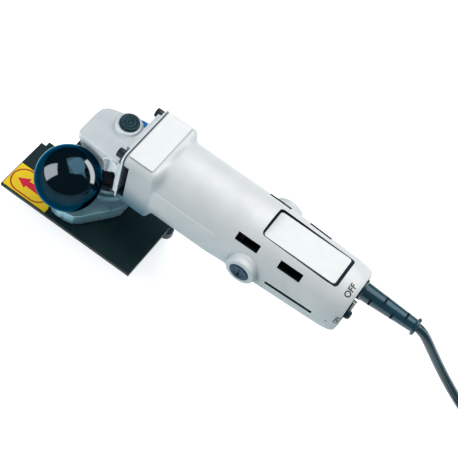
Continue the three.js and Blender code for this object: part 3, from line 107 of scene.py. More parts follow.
def ring_faces(rings, closed=False):
    """Faces between neighbouring rings, with both ends capped unless the rings close on themselves."""
    count = len(rings[0])
    faces = []
    for r in range(len(rings) if closed else len(rings) - 1):
        a, b = r * count, (r + 1) % len(rings) * count
        for i in range(count):
            j = (i + 1) % count
            faces.append((a + i, a + j, b + j, b + i))
    if not closed:
        faces.append(tuple(reversed(range(count))))
        faces.append(tuple(range((len(rings) - 1) * count, len(rings) * count)))
    return faces


def smoothstep(value, low, high):
    share = min(max((value - low) / (high - low), 0), 1)
    return share * share * (3 - 2 * share)


# Cord

CORD_RADIUS, CORD_SUNK = 4.3, 0.86
CORD_FLOOR = CORD_RADIUS - CORD_SUNK
CORD_STEPS, CORD_SIDES = 4, 18
BOOT_SIDE, BOOT_HIGH = 13.5, 107.5
COIL_X, COIL_RADIUS, COIL_TURNS, COIL_PITCH = 455, 49, 6, 9.65
COIL_STEPS, COIL_LEAD, COIL_RISE, COIL_DROP = 24, 13, 60, 0.25
COIL_OUTER = COIL_RADIUS + COIL_TURNS * COIL_PITCH / 4
PLUG_MIDDLE = 8
CORD_ROUTE = [
    (299.6, 107.5), (301.6, 107.5), (307, 104.6), (313.5, 98.4), (322, 89.2), (332, 78.6), (343, 67.6),
    (355, 56.6), (367, 46.6), (379, 37.4), (391, 29.2), (403, 22.2), (416, 16.6), (429, 13.7), (439, 13.1),
]


def cord_points():
    """The route down from the boot, a coil in two layers, and the rise to the plug."""
    points = [(x, BOOT_SIDE, z) for x, z in CORD_ROUTE]
    top = CORD_FLOOR + COIL_PITCH
    centre = BOOT_SIDE - COIL_OUTER
    for i in range(COIL_TURNS * COIL_STEPS + 1):
        turn = i / COIL_STEPS
        radius = COIL_OUTER - COIL_PITCH * min(turn, COIL_TURNS - turn)
        drop = smoothstep(turn, COIL_TURNS / 2 - COIL_DROP, COIL_TURNS / 2 + COIL_DROP)
        angle = math.pi / 2 - turn * 2 * math.pi
        points.append((COIL_X + radius * math.cos(angle), centre + radius * math.sin(angle),
                       top - COIL_PITCH * drop))
    for share in (0.2, 0.4, 0.6, 0.8, 1):
        points.append((COIL_X + COIL_RISE * share, BOOT_SIDE,
                       CORD_FLOOR + (PLUG_MIDDLE - CORD_FLOOR) * smoothstep(share, 0.4, 1)))
    points.append((COIL_X + COIL_RISE + COIL_LEAD, BOOT_SIDE, PLUG_MIDDLE))
    return [Vector(p) * MM for p in points]


def smooth_path(points, steps):
    """Catmull-Rom curve through the points."""
    path = []
    for i in range(len(points) - 1):
        a, b, c, d = (points[max(min(k, len(points) - 1), 0)] for k in (i - 1, i, i + 1, i + 2))
        for step in range(steps):
            t = step / steps
            path.append(0.5 * (2 * b + (c - a) * t + (2 * a - 5 * b + 4 * c - d) * t * t
                               + (3 * b - a - 3 * c + d) * t ** 3))
    path.append(points[-1])
    return path


def add_tube(name, path, radius, sides):
    """Round tube along a path, pressed flat where it would go through the floor."""
    rings = []
    side = Vector((0, 1, 0))
    for i, point in enumerate(path):
        along = (path[min(i + 1, len(path) - 1)] - path[max(i - 1, 0)]).normalized()
        side = (side - along * side.dot(along)).normalized()
        up = along.cross(side)
        ring = []
        for k in range(sides):
            turn = 2 * math.pi * k / sides
            vertex = point + (side * math.cos(turn) + up * math.sin(turn)) * radius
            vertex.z = max(vertex.z, 0)
            ring.append(vertex)
        rings.append(ring)
    return add_mesh(name, [vertex for ring in rings for vertex in ring], ring_faces(rings), 60)


def add_cord():
    points = cord_points()
    path = smooth_path(points, CORD_STEPS)
    cord = add_tube("mains_cord", path, CORD_RADIUS * MM, CORD_SIDES)
    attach(cord, "motor_unit")
    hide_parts("cord", "cord_coil")
    return cord


cord = add_cord()


# Shader nodes

def node_tree(owner):
    owner.use_nodes = True
    owner.node_tree.nodes.clear()
    return owner.node_tree


def add_node(tree, kind, inputs=None, **settings):
    """Shader node with its settings, and with inputs that are values or sockets of other nodes."""
    node = tree.nodes.new("ShaderNode" + kind)
    for name, value in settings.items():
        setattr(node, name, value)
    for name, value in (inputs or {}).items():
        if isinstance(value, bpy.types.NodeSocket):
            tree.links.new(value, node.inputs[name])
        else:
            node.inputs[name].default_value = value
    return node


def calculate(tree, operation, first, second=0.0):
    return add_node(tree, "Math", {0: first, 1: second}, operation=operation).outputs[0]


def linear(colour):
    """Scene colour of a display colour from 0 to 255."""
    return (*(((v / 255 + 0.055) / 1.055) ** 2.4 if v > 10 else v / 255 / 12.92 for v in colour), 1)


# Stage and light

FLOOR_REACH, FLOOR_DROP = 6, 0.0005
FLOOR_GLOW = 0.62
FLOOR_COLOUR = (0.28, 0.45, 0.51, 1)
FLOOR_SEEN = (0.86, 0.87, 0.88, 1)
SKY_COLOUR = (0.84, 0.94, 1, 1)
WORLD_LIGHT = 0.3
WHITE = (1, 1, 1, 1)
LIT_POINT = Vector((0.06, 0, 0.08))
OVERHEAD = (0.133, 0.411, 0.906)
LEFT = (-0.735, -0.485, 0.434)
RIGHT = (0.596, 0.761, 0.237)


def seen_by(tree, *kinds):
    """Socket that is 1 for rays of the named kinds."""
    rays = add_node(tree, "LightPath")
    share = rays.outputs["Is %s Ray" % kinds[0]]
    for kind in kinds[1:]:
        share = calculate(tree, "MAXIMUM", share, rays.outputs["Is %s Ray" % kind])
    return share


def add_floor():
    """Floor that looks white from the camera and lights the object as a darker one."""
    mesh = bpy.data.meshes.new("floor")
    corners = [(x * FLOOR_REACH, y * FLOOR_REACH, 0) for x, y in ((-1, -1), (1, -1), (1, 1), (-1, 1))]
    mesh.from_pydata(corners, [], [(0, 1, 2, 3)])
    floor = new_item("floor", mesh)
    floor.location.z = -FLOOR_DROP
    material = bpy.data.materials.new("floor")
    tree = node_tree(material)
    lit = add_node(tree, "BsdfDiffuse", {"Color": FLOOR_COLOUR})
    pale = add_node(tree, "BsdfDiffuse", {"Color": FLOOR_SEEN})
    glow = add_node(tree, "Emission", {"Color": WHITE, "Strength": FLOOR_GLOW})
    seen = add_node(tree, "AddShader", {0: pale.outputs[0], 1: glow.outputs[0]})
    mix = add_node(tree, "MixShader", {0: seen_by(tree, "Camera", "Transmission", "Glossy"),
                                       1: lit.outputs[0], 2: seen.outputs[0]})
    add_node(tree, "OutputMaterial", {0: mix.outputs[0]})
    floor.data.materials.append(material)


def add_sky():
    world = bpy.data.worlds.new("world")
    bpy.context.scene.world = world
    tree = node_tree(world)
    sky = add_node(tree, "Background", {"Color": SKY_COLOUR, "Strength": WORLD_LIGHT})
    white = add_node(tree, "Background", {"Color": WHITE, "Strength": 1})
    mix = add_node(tree, "MixShader", {0: seen_by(tree, "Camera", "Transmission"), 1: sky.outputs[0],
                                       2: white.outputs[0]})
    add_node(tree, "OutputWorld", {0: mix.outputs[0]})


def add_window(name, toward, distance, size, power, colour=(1, 1, 1), mirrored=True):
    """Soft rectangular light that faces the object from a direction."""
    data = bpy.data.lights.new(name, "AREA")
    data.shape = "RECTANGLE"
    data.size, data.size_y = size
    data.energy = power
    data.color = colour
    light = new_item(name, data)
    place = LIT_POINT + Vector(toward).normalized() * distance
    turn = (LIT_POINT - place).to_track_quat("-Z", "Y").to_matrix().to_4x4()
    light.matrix_world = Matrix.Translation(place) @ turn
    light.visible_glossy = mirrored
    return light


add_floor()
add_sky()
add_window("overhead_window", OVERHEAD, 1.3, (1.2, 1.2), 10.8, (1, 0.995, 0.98))
add_window("left_window", (-0.6, -0.55, 0.58), 1.3, (0.9, 1.0), 8, (0.98, 1, 1), False)
add_window("right_strip", (0.8, 0.45, 0.4), 1.2, (0.4, 1.0), 3.5)
near_fill = add_window("near_fill", (-0.35, -0.9, 0.2), 1.4, (1.0, 0.4), 17, (0.9, 0.97, 1), False)


# Materials, with display colours from 0 to 255 and noise scales per metre

NOISE_LOW, NOISE_HIGH = 0.3, 0.7
COAT_ROUGHNESS = 0.08
GLOSS_TINT = 0.6
PANE_EDGE = 0.05


def principled(name, colour, roughness, metallic=0.0, coat=0.0, specular=0.5):
    material = bpy.data.materials.new(name)
    tree = node_tree(material)
    shader = add_node(tree, "BsdfPrincipled", {
        "Base Color": linear(colour), "Roughness": roughness, "Metallic": metallic,
        "Coat Weight": coat, "Coat Roughness": COAT_ROUGHNESS, "Specular IOR Level": specular})
    add_node(tree, "OutputMaterial", {0: shader.outputs[0]})
    return material, tree, shader


def noise(tree, scale, detail=3.0, stretch=(1, 1, 1)):
    place = add_node(tree, "TexCoord").outputs["Object"]
    mapping = add_node(tree, "Mapping", {"Vector": place, "Scale": stretch})
    return add_node(tree, "TexNoise", {"Vector": mapping.outputs["Vector"], "Scale": scale,
                                       "Detail": detail}).outputs["Fac"]


def spread(tree, value, low, high, start=NOISE_LOW, end=NOISE_HIGH, smooth=False):
    """Maps the span from start to end, by default a noise's usual one, to low and high."""
    return add_node(tree, "MapRange", {"Value": value, "From Min": start, "From Max": end, "To Min": low,
                                       "To Max": high},
                    interpolation_type="SMOOTHSTEP" if smooth else "LINEAR").outputs["Result"]


def tint(tree, shader, factor, first, second):
    """Base colour that runs from one colour to another."""
    mix = add_node(tree, "Mix", {"Factor": factor, "A": linear(first), "B": linear(second)}, data_type="RGBA")
    tree.links.new(mix.outputs["Result"], shader.inputs["Base Color"])


def darken(tree, shader, share, dark):
    """Mixes a darker colour into the tinted base colour."""
    source = shader.inputs["Base Color"]
    mix = add_node(tree, "Mix", {"Factor": share, "A": source.links[0].from_socket, "B": linear(dark)},
                   data_type="RGBA")
    tree.links.new(mix.outputs["Result"], source)


def vary_gloss(tree, shader, pattern, roughness, below, above):
    tree.links.new(spread(tree, pattern, roughness - below, roughness + above), shader.inputs["Roughness"])


def bump(tree, shader, height, strength, distance):
    node = add_node(tree, "Bump", {"Strength": strength, "Distance": distance, "Height": height})
    tree.links.new(node.outputs["Normal"], shader.inputs["Normal"])


def shade_in_creases(tree, shader, distance, amount, dark, closed=0.35, open_level=0.9):
    """Darkens the base colour where the surface is enclosed: painted shade in corners and creases."""
    occlusion = add_node(tree, "AmbientOcclusion", {"Distance": distance}, samples=6)
    darken(tree, shader, spread(tree, occlusion.outputs["AO"], amount, 0, closed, open_level), dark)


def painted_low_shade(tree, shader, across, down, amount, dark):
    """Painted shade: mixes a darker colour in toward the bottom of the square end of the motor shell."""
    place = add_node(tree, "TexCoord").outputs["Object"]
    parts = add_node(tree, "SeparateXYZ", {0: place})
    fades = [spread(tree, parts.outputs[axis], 0, top, start, end, True)
             for axis, (start, end), top in (("X", across, 1), ("Z", down, amount))]
    darken(tree, shader, calculate(tree, "MULTIPLY", *fades), dark)


def painted_reflections(tree, shader, windows):
    """Painted reflections: bright glowing soft-edged panes where a glossy surface would reflect a window."""
    mirrored = add_node(tree, "TexCoord").outputs["Reflection"]

    def dot(vector):
        node = add_node(tree, "VectorMath", {0: mirrored, 1: vector}, operation="DOT_PRODUCT")
        return node.outputs["Value"]

    total = (0, 0, 0)
    for toward, upward, half_wide, half_high, strength, colour in windows:
        middle = Vector(toward).normalized()
        side = middle.cross(Vector(upward)).normalized()
        ahead = calculate(tree, "MAXIMUM", dot(middle), 0.01)
        mask = 1.0
        for axis, half in ((side, half_wide), (side.cross(middle), half_high)):
            offset = calculate(tree, "ABSOLUTE", calculate(tree, "DIVIDE", dot(axis), ahead))
            fade = spread(tree, offset, 0, 1, half + PANE_EDGE, half - PANE_EDGE, True)
            mask = calculate(tree, "MULTIPLY", mask, fade)
        pane = add_node(tree, "VectorMath", {0: colour, "Scale": calculate(tree, "MULTIPLY", mask, strength)},
                        operation="SCALE")
        total = add_node(tree, "VectorMath", {0: total, 1: pane.outputs[0]}).outputs[0]
    tree.links.new(total, shader.inputs["Emission Color"])
    shader.inputs["Emission Strength"].default_value = 1


def coated_metal(name, light, dark, roughness, metallic, grain, grain_depth, crease_shade, specular=0.5):
    """Paint or blasted metal: cloudy colour, uneven gloss, a fine grain and painted shade in creases."""
    material, tree, shader = principled(name, light, roughness, metallic, specular=specular)
    tint(tree, shader, spread(tree, noise(tree, 45), 0, 1), light, dark)
    vary_gloss(tree, shader, noise(tree, 160), roughness, 0.06, 0.08)
    shade_in_creases(tree, shader, 0.006, 0.75, crease_shade)
    bump(tree, shader, noise(tree, grain, 2), 0.35, grain_depth)
    return material


def turned_metal(name, light, dark, roughness, stretch=(1, 1, 40), scale=160):
    """Ground or turned metal with fine lines and painted shade in creases."""
    material, tree, shader = principled(name, light, roughness, 1.0)
    lines = noise(tree, scale, 4, stretch)
    tint(tree, shader, spread(tree, lines, 0, 1), light, dark)
    vary_gloss(tree, shader, lines, roughness, 0.08, 0.1)
    shade_in_creases(tree, shader, 0.003, 0.6, (20, 24, 28))
    bump(tree, shader, lines, 0.15, 0.00005)
    return material


def moulded(name, light, dark, roughness, grain=2600, depth=0.00008, coat=0.0, specular=0.5):
    """Plastic, rubber or print, whose gloss leans toward its own hue."""
    material, tree, shader = principled(name, light, roughness, coat=coat, specular=specular)
    tint(tree, shader, spread(tree, noise(tree, 120), 0, 1), light, dark)
    vary_gloss(tree, shader, noise(tree, 300), roughness, 0.05, 0.07)
    bump(tree, shader, noise(tree, grain, 2), 0.3, depth)
    hue = (v / max(light) for v in light)
    shader.inputs["Specular Tint"].default_value = (*(1 - GLOSS_TINT * (1 - v) for v in hue), 1)
    return material


def silver_paint():
    material = coated_metal("silver_paint", (228, 229, 229), (219, 220, 220), 0.48, 0.1, 1500, 0.00006,
                            (96, 116, 124))
    tree = material.node_tree
    shader = tree.nodes["Principled BSDF"]
    # Teal painted shade where other parts are near, and painted shade toward the bottom of the square end.
    shade_in_creases(tree, shader, 0.08, 0.5, (84, 140, 158), 0.45, 0.95)
    painted_low_shade(tree, shader, (0.062, 0.056), (0.108, 0.078), 0.85, (40, 112, 134))
    return material


def polished_ball():
    material, tree, shader = principled("polished_ball", (24, 42, 52), 0.06, 1.0)
    tint(tree, shader, spread(tree, noise(tree, 60), 0, 1), (20, 37, 47), (28, 47, 58))
    shader.inputs["Specular Tint"].default_value = (0.26, 0.5, 0.64, 1)
    vary_gloss(tree, shader, noise(tree, 400), 0.06, 0.02, 0.04)
    # Painted reflections of three windows, glowing on the ball.
    painted_reflections(tree, shader, ((LEFT, (0, 0, 1), 0.36, 0.44, 0.4, (0.84, 0.92, 1)),
                                 (OVERHEAD, (-0.47, 0.75, 0.46), 0.5, 0.56, 0.1, (0.35, 0.75, 1)),
                                 (RIGHT, (-0.57, 0.66, 0.49), 0.18, 0.56, 0.55, (0.9, 0.95, 1))))
    return material


paint = silver_paint()
head_metal = coated_metal("blasted_casting", (208, 212, 214), (196, 202, 205), 0.42, 0.3, 2200, 0.00012,
                          (58, 74, 80))
# Lighter copy of the head casting for the arch, its lip and the cheeks: painted light and highlight.
painted_lit_casting = coated_metal("painted_lit_casting", (238, 241, 242), (228, 232, 234), 0.4, 0.1, 2200, 0.0001,
                              (84, 104, 112))
casting_metal = coated_metal("cast_aluminium", (170, 212, 224), (128, 178, 194), 0.32, 0.4, 900, 0.0002,
                             (20, 44, 54))
ring_metal = turned_metal("knurled_ring", (214, 230, 236), (160, 184, 194), 0.22)
plate_black = coated_metal("black_oxide_plate", (26, 48, 51), (20, 41, 45), 0.42, 0.0, 1800, 0.00006,
                           (4, 10, 13), 0.16)
ball_black = polished_ball()
black_plastic = moulded("black_plastic", (12, 40, 52), (8, 28, 38), 0.34)
cap_plastic = moulded("cap_plastic", (8, 72, 98), (5, 52, 74), 0.3, specular=0.2)
lock_plastic = moulded("lock_plastic", (6, 36, 48), (4, 26, 36), 0.24)
rubber = moulded("black_rubber", (8, 60, 76), (5, 44, 58), 0.26, 1500, 0.0001, 0.6)
cord_skin = moulded("cord_skin", (7, 50, 64), (5, 36, 48), 0.22, 1200, 0.00006, 0.7)
steel = turned_metal("ground_steel", (170, 175, 178), (140, 146, 150), 0.28)
dark_steel = turned_metal("black_oxide_steel", (44, 48, 52), (28, 31, 35), 0.4)
screw_black = turned_metal("screw_black", (84, 94, 100), (40, 47, 52), 0.24)
chrome = turned_metal("bright_chrome", (225, 228, 230), (205, 209, 212), 0.12)
brass = turned_metal("plain_brass", (196, 164, 92), (170, 138, 72), 0.3)
copper = turned_metal("enamelled_copper", (168, 92, 48), (140, 72, 36), 0.38, (1, 1, 1), 900)
varnish = moulded("coil_varnish", (20, 16, 14), (12, 10, 9), 0.5)
carbon = moulded("pressed_carbon", (34, 34, 34), (22, 22, 22), 0.7)
white_face = moulded("white_plate", (236, 237, 237), (231, 233, 233), 0.4, 900, 0.00003)
label_yellow = moulded("yellow_label", (252, 214, 34), (247, 206, 26), 0.4, 900, 0.00003, 0.1)
label_red = moulded("arrow_ink", (226, 24, 62), (215, 20, 54), 0.4, 900, 0.00003, 0.1)
label_brown = moulded("ring_ink", (182, 58, 18), (168, 50, 14), 0.4, 900, 0.00003, 0.1)
mark_blue = moulded("blue_mark", (40, 120, 190), (30, 104, 172), 0.4, 900, 0.00003)
print_grey = moulded("printed_ink", (46, 54, 60), (34, 42, 48), 0.45, 900, 0.00002)
# Dark grey for the walls of vents, slots, notches, the name-plate recess and inner hollows: painted shade.
painted_shade = moulded("painted_hollow_shade", (40, 56, 62), (30, 44, 50), 0.8, specular=0.1)

cord.data.materials.append(cord_skin)


# Shape helpers

# Where the turned pieces have their middles, on the axis that each turns round.
ON_MOTOR = (0, 0, AXIS)
ON_SPINDLE = (0, 0, 0)
ON_BRUSHES = (155, 0, AXIS)
ON_BOOT = (0, BOOT_SIDE, BOOT_HIGH)
ON_SWITCH = (0, 0, 108)
LOCK_X, LOCK_Y = 4.3, 10.5
ON_LOCK = (LOCK_X, LOCK_Y, 0)
ON_HANDLE = (-11.4, -48.8, 0)


def new_object(name, vertices, faces, material, smooth=40):
    obj = add_mesh(name, [tuple(c * MM for c in v) for v in vertices], faces, smooth)
    obj.data.materials.append(material)
    return obj


def loft(name, rings, material, smooth=40, closed=False):
    return new_object(name, [p for ring in rings for p in ring], ring_faces(rings, closed), material, smooth)


def spin(name, profile, axis, centre, material, sides=96, smooth=32, radius_at=None):
    """Turned piece; the profile lists (along, radius). A radius of 0 closes it on the axis."""
    vertices, rows, faces = [], [], []
    for along, radius in profile:
        start = len(vertices)
        for i in range(sides if radius else 1):
            turn = 2 * math.pi * i / sides
            r = radius_at(along, radius, turn) if radius_at else radius
            vertices.append(aim(axis, centre, along, r * math.cos(turn), r * math.sin(turn)))
        rows.append(range(start, len(vertices)))
    pairs = list(zip(rows, rows[1:]))
    if profile[0][1] != 0:
        pairs.append((rows[-1], rows[0]))
    for low, high in pairs:
        for i in range(sides):
            j = (i + 1) % sides
            corners = [row[k % len(row)] for row, k in ((low, i), (low, j), (high, j), (high, i))]
            face = tuple(dict.fromkeys(corners))
            if len(face) > 2:
                faces.append(face)
    return new_object(name, vertices, faces, material, smooth)


def rod(name, low, high, radius, axis, centre, material, sides=96, corner=0):
    """Round rod between two places along its axis."""
    profile = rounded([(low, 0), (low, radius), (high, radius), (high, 0)], corner)
    return spin(name, profile, axis, centre, material, sides)


def aim(axis, centre, along, across, up):
    x, y, z = centre
    if axis == "x":
        return (x + along, y + across, z + up)
    if axis == "y":
        return (x + across, y + along, z + up)
    if axis == "-y":
        return (x - across, y - along, z + up)
    return (x + across, y + up, z + along)


def bend(start, corner, end, steps):
    """Short curve from start to end that leans toward the corner."""
    shares = [i / steps for i in range(steps + 1)]
    return [start * (1 - t) ** 2 + corner * 2 * t * (1 - t) + end * t * t for t in shares]


def rounded(points, radius, steps=5):
    """Profile with every inner corner turned into a short arc."""
    result = [points[0]]
    for before, corner, after in zip(points, points[1:], points[2:]):
        a, c, b = Vector(before), Vector(corner), Vector(after)
        reach = min(radius, (a - c).length * 0.45, (b - c).length * 0.45)
        if reach < 1e-4:
            result.append(corner)
            continue
        start, end = c + (a - c).normalized() * reach, c + (b - c).normalized() * reach
        result += [(point.x, max(point.y, 0)) for point in bend(start, c, end, steps)]
    result.append(points[-1])
    return result


def prism(name, outline, low, high, material, smooth=30):
    rings = [[(x, y, z) for x, y in outline] for z in (low, high)]
    return loft(name, rings, material, smooth)


def rounded_box(x0, x1, y0, y1, radius, steps=6):
    points = []
    for cx, cy, first in ((x1 - radius, y0 + radius, -90), (x1 - radius, y1 - radius, 0),
                          (x0 + radius, y1 - radius, 90), (x0 + radius, y0 + radius, 180)):
        for i in range(steps + 1):
            turn = math.radians(first + 90 * i / steps)
            points.append((cx + radius * math.cos(turn), cy + radius * math.sin(turn)))
    return points


def block(name, low, high, material):
    (x0, y0, z0), (x1, y1, z1) = low, high
    return prism(name, [(x0, y0), (x1, y0), (x1, y1), (x0, y1)], z0, z1, material)


def side_block(name, side, along, across, up, material):
    """Block with three spans; the span across is the far side's, and is mirrored for the near side, -1."""
    near, far = sorted(side * y for y in across)
    return block(name, (along[0], near, up[0]), (along[1], far, up[1]), material)


def apply_modifiers(obj):
    depsgraph = bpy.context.evaluated_depsgraph_get()
    mesh = bpy.data.meshes.new_from_object(obj.evaluated_get(depsgraph))
    old = obj.data
    obj.modifiers.clear()
    obj.data = mesh
    bpy.data.meshes.remove(old)


def combine(obj, tools, operation="DIFFERENCE"):
    for tool in tools:
        modifier = obj.modifiers.new("combine", "BOOLEAN")
        modifier.operation = operation
        modifier.solver = "EXACT"
        modifier.material_mode = "TRANSFER"
        modifier.object = tool
    bpy.context.view_layer.update()
    apply_modifiers(obj)
    for tool in tools:
        bpy.data.objects.remove(tool)


def cast(obj, voxel, rounds, smooth=60):
    """Turns joined solids into one casting with soft inner and outer corners."""
    modifier = obj.modifiers.new("remesh", "REMESH")
    modifier.mode = "VOXEL"
    modifier.voxel_size = voxel * MM
    relax = obj.modifiers.new("smooth", "SMOOTH")
    relax.factor = 0.5
    relax.iterations = rounds
    bpy.context.view_layer.update()
    apply_modifiers(obj)
    soften(obj, smooth)


def edge(obj, width, segments=2, angle=30):
    modifier = obj.modifiers.new("edge", "BEVEL")
    modifier.width = width * MM
    modifier.segments = segments
    modifier.limit_method = "ANGLE"
    modifier.angle_limit = math.radians(angle)


def settle(obj, body, slot, *nodes):
    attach(obj, body)
    if nodes:
        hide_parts(*nodes)


# Motor housing

RING_SIDES = 192
BLOCK_HALF, BLOCK_CORNER, BLOCK_END, BLEND, BLEND_STEPS = 33, 7, 56.5, 6, 8
BLOCK_FRONT = ((28, 31.4), (28.5, 32.3), (29.4, 32.8), (30.6, BLOCK_HALF), (52, BLOCK_HALF),
               (55.6, BLOCK_HALF))
BARREL_RADIUS = 35
LEDGE_RISE, LEDGE_FADE, LEDGE_END = 1.0, 118, 136
LEDGE_TOP, LEDGE_BOTTOM = math.radians(24.5), math.radians(-60)
TAPER_START, TAPER_STEPS = 150, 24
TAIL_START, TAIL_LONG, TAIL_RADIUS, TAIL_STEPS = 222, 22.5, 32.3, 14
VENT_STARTS, VENT_LONG, VENT_HALF, VENT_TURN = (138, 179.3), 21.5, 3.75, math.radians(43)


def square_reach(turn, half, corner):
    """Distance from the axis to a square with rounded corners."""
    across, along = sorted((abs(math.cos(turn)), abs(math.sin(turn))))
    reach = half / along
    flat = half - corner
    if reach * across > flat:
        share = flat * (along + across)
        reach = share + math.sqrt(share ** 2 - 2 * flat ** 2 + corner ** 2)
    return reach


def motor_ring(x, half, corner, round_share=0.0, radius=BARREL_RADIUS):
    points = []
    for i in range(RING_SIDES):
        turn = 2 * math.pi * (i + 0.5) / RING_SIDES
        reach = radius
        if round_share < 1:
            reach = square_reach(turn, half, corner) * (1 - round_share) + radius * round_share
        near_turn = math.atan2(math.sin(turn), -math.cos(turn))
        if round_share > 0.5 and x < LEDGE_END and LEDGE_BOTTOM < near_turn < LEDGE_TOP:
            reach += LEDGE_RISE * (1 - smoothstep(x, LEDGE_FADE, LEDGE_END))
        points.append((x, reach * math.cos(turn), AXIS + reach * math.sin(turn)))
    return points


def barrel_ring(x, radius=BARREL_RADIUS):
    return motor_ring(x, BLOCK_HALF, BLOCK_CORNER, 1.0, radius)


def tail_radius(x):
    """Radius of the rounded tail at a length x."""
    share = min(max((x - TAIL_START) / TAIL_LONG, 0), 1)
    return TAIL_RADIUS - 0.6 * share - 4.3 * (1 - math.sqrt(max(0, 1 - share ** 3)))


def add_motor_housing():
    rings = [motor_ring(x, half, BLOCK_CORNER) for x, half in BLOCK_FRONT]
    for i in range(BLEND_STEPS + 1):
        share = i / BLEND_STEPS
        rings.append(motor_ring(BLOCK_END + BLEND * share, BLOCK_HALF, BLOCK_CORNER,
                                smoothstep(share, 0, 1)))
    for x in (*range(66, LEDGE_END, 5), LEDGE_END - 0.2, LEDGE_END + 0.2, 140, 145, TAPER_START):
        rings.append(barrel_ring(x))
    for i in range(1, TAPER_STEPS + 1):
        share = i / TAPER_STEPS
        rings.append(barrel_ring(TAPER_START + (TAIL_START - TAPER_START) * share,
                                 BARREL_RADIUS - (BARREL_RADIUS - TAIL_RADIUS) * share))
    for i in range(1, TAIL_STEPS + 1):
        x = TAIL_START + TAIL_LONG * i / TAIL_STEPS
        rings.append(barrel_ring(x, tail_radius(x)))
    body = loft("motor_shell", rings, paint, 50)
    boss = rounded([(24, 0), (24, 16.4), (32, 16), (34.8, 14.2), (38.6, 13.6), (39.4, 12.9), (39.4, 0)], 1.2)
    combine(body, [spin("boss", boss, side, ON_BRUSHES, paint, 64) for side in ("-y", "y")], "UNION")
    chamber = [(20, 0), (20, 29.5), (69, 29.5), (69, 29.9), (147, 29.9), (147, 25.5), (170, 25.5), (170, 0)]
    tail = [(175, 0), (175, 25.5), (235.5, 25.5), (235.5, 0)]
    well = rounded([(239.5, 0), (239.5, 25), (247, 25.6), (247, 0)], 0.8)
    # The cutters give their dark grey to the cut walls: painted shade in hollows, vents, slots, bores, holes
    # and the name-plate recess.
    tools = [spin("hollow", profile, "x", ON_MOTOR, painted_shade, 96) for profile in (chamber, tail, well)]
    for side in (-1, 1):
        for start in VENT_STARTS:
            vent = block("vent", (start, 19, -VENT_HALF), (start + VENT_LONG, 45, VENT_HALF), painted_shade)
            if side < 0:
                vent.data.transform(Matrix.Scale(-1, 4, (0, 1, 0)))
                vent.data.flip_normals()
            turned = Matrix.Rotation(side * VENT_TURN, 4, "X")
            vent.data.transform(Matrix.Translation((0, 0, AXIS * MM)) @ turned)
            tools.append(vent)
        tools.append(side_block("slot", side, (177, 222), (18, 37), (105.2, 108.4), painted_shade))
        tools.append(side_block("exhaust", side, (26, 34.4), (19, 34.5), (84, 128), painted_shade))
        tools.append(spin("bore", [(16, 0), (16, 7.9), (34.4, 7.9), (34.4, 9.1), (41, 9.1), (41, 0)],
                          "-y" if side < 0 else "y", ON_BRUSHES, painted_shade, 48))
    tools.append(prism("recess", rounded_box(153.8, 228, -15.9, 15.9, 3.5), 133.2, 145, painted_shade))
    for radius, centre in ((2.7, ON_SWITCH), (6.5, ON_BOOT)):
        tools.append(rod("hole", 233, 242, radius, "x", centre, painted_shade, 32))
    combine(body, tools)
    web = spin("web", [(170, 4.1), (170, 25.7), (175, 25.7), (175, 4.1)], "x", ON_MOTOR, paint, 64)
    combine(body, [web], "UNION")
    soften(body, 38)
    edge(body, 0.35, angle=40)
    settle(body, "motor_unit", "housing_paint", "motor_housing")


add_motor_housing()


def add_name_plates():
    for name, node, plan, low, high, width in (
            ("name_plate", "nameplate", rounded_box(155.4, 225, -14.3, 14.3, 2.5), 133.5, 134.3, 0.12),
            ("front_plate", "head_plate", rounded_box(29.6, 53.6, -28.5, 28.5, 1.2), 138.3, 138.8, 0.1)):
        plate = prism(name, plan, low, high, white_face)
        edge(plate, width)
        settle(plate, "motor_unit", "white_plate", node)


add_name_plates()


# Gear head

HEAD_NOSE, HEAD_BREAK, HEAD_BACK = -26.5, 12, 25.2
HEAD_NEAR, HEAD_FAR, NOSE_IN = 26, 24, 5.2
HEAD_WALL, HEAD_SKIRT, SKIRT_IN = 102, 83, 6.5
HEAD_SLOPE = math.tan(math.radians(9))
ARCH_X, ARCH_CREST, ARCH_RADIUS, LIP_RADIUS, LIP_PROUD = 14.3, 103.6, 8.4, 9.6, 0.8
ARCH_FLOOR, ARCH_BACK = 70, 15.5
CHEEK_INNER, CHEEK_BEND, CHEEK_FLOOR, CHEEK_TOP, CHEEK_STEPS = 12, 7.5, 72, 84, 12
NOTCH_INNER, NOTCH_OUTER = 21.5, 40


def slope_top(x):
    return 108 + (x - HEAD_NOSE) * HEAD_SLOPE


def corner_arc(before, corner, after, radius, steps=6):
    """Round corner of an outline, where the radius is its tangent length."""
    a, c, b = Vector(before), Vector(corner), Vector(after)
    start, end = c + (a - c).normalized() * radius, c + (b - c).normalized() * radius
    return [tuple(point) for point in bend(start, c, end, steps)]


def head_plan(near_draft, draft, far_draft, break_draft):
    near, far = -HEAD_NEAR + near_draft, HEAD_FAR - far_draft
    corners = [((HEAD_NOSE + draft, near + NOSE_IN), 5), ((HEAD_BREAK - break_draft, near), 1.5),
               ((HEAD_BACK, near), 1.5), ((HEAD_BACK, far), 1.5),
               ((HEAD_BREAK, far), 1.5), ((HEAD_NOSE + draft, far - 7.2), 10)]
    points = []
    for i, (corner, radius) in enumerate(corners):
        points += corner_arc(corners[i - 1][0], corner, corners[(i + 1) % len(corners)][0], radius)
    return points


def arch_outline(middle, crest, radius, floor, steps=16):
    points = [(middle - radius, floor), (middle + radius, floor)]
    for i in range(steps + 1):
        turn = math.pi * i / steps
        points.append((middle + radius * math.cos(turn), crest + radius * math.sin(turn)))
    return points


def near_wall(x, z):
    """Where the gear head's near wall lies, at a length x and height z."""
    nose = NOSE_IN * max(0, HEAD_BREAK - x) / (HEAD_BREAK - HEAD_NOSE)
    return -HEAD_NEAR + nose + SKIRT_IN * max(0, HEAD_WALL - z) / (HEAD_WALL - HEAD_SKIRT)


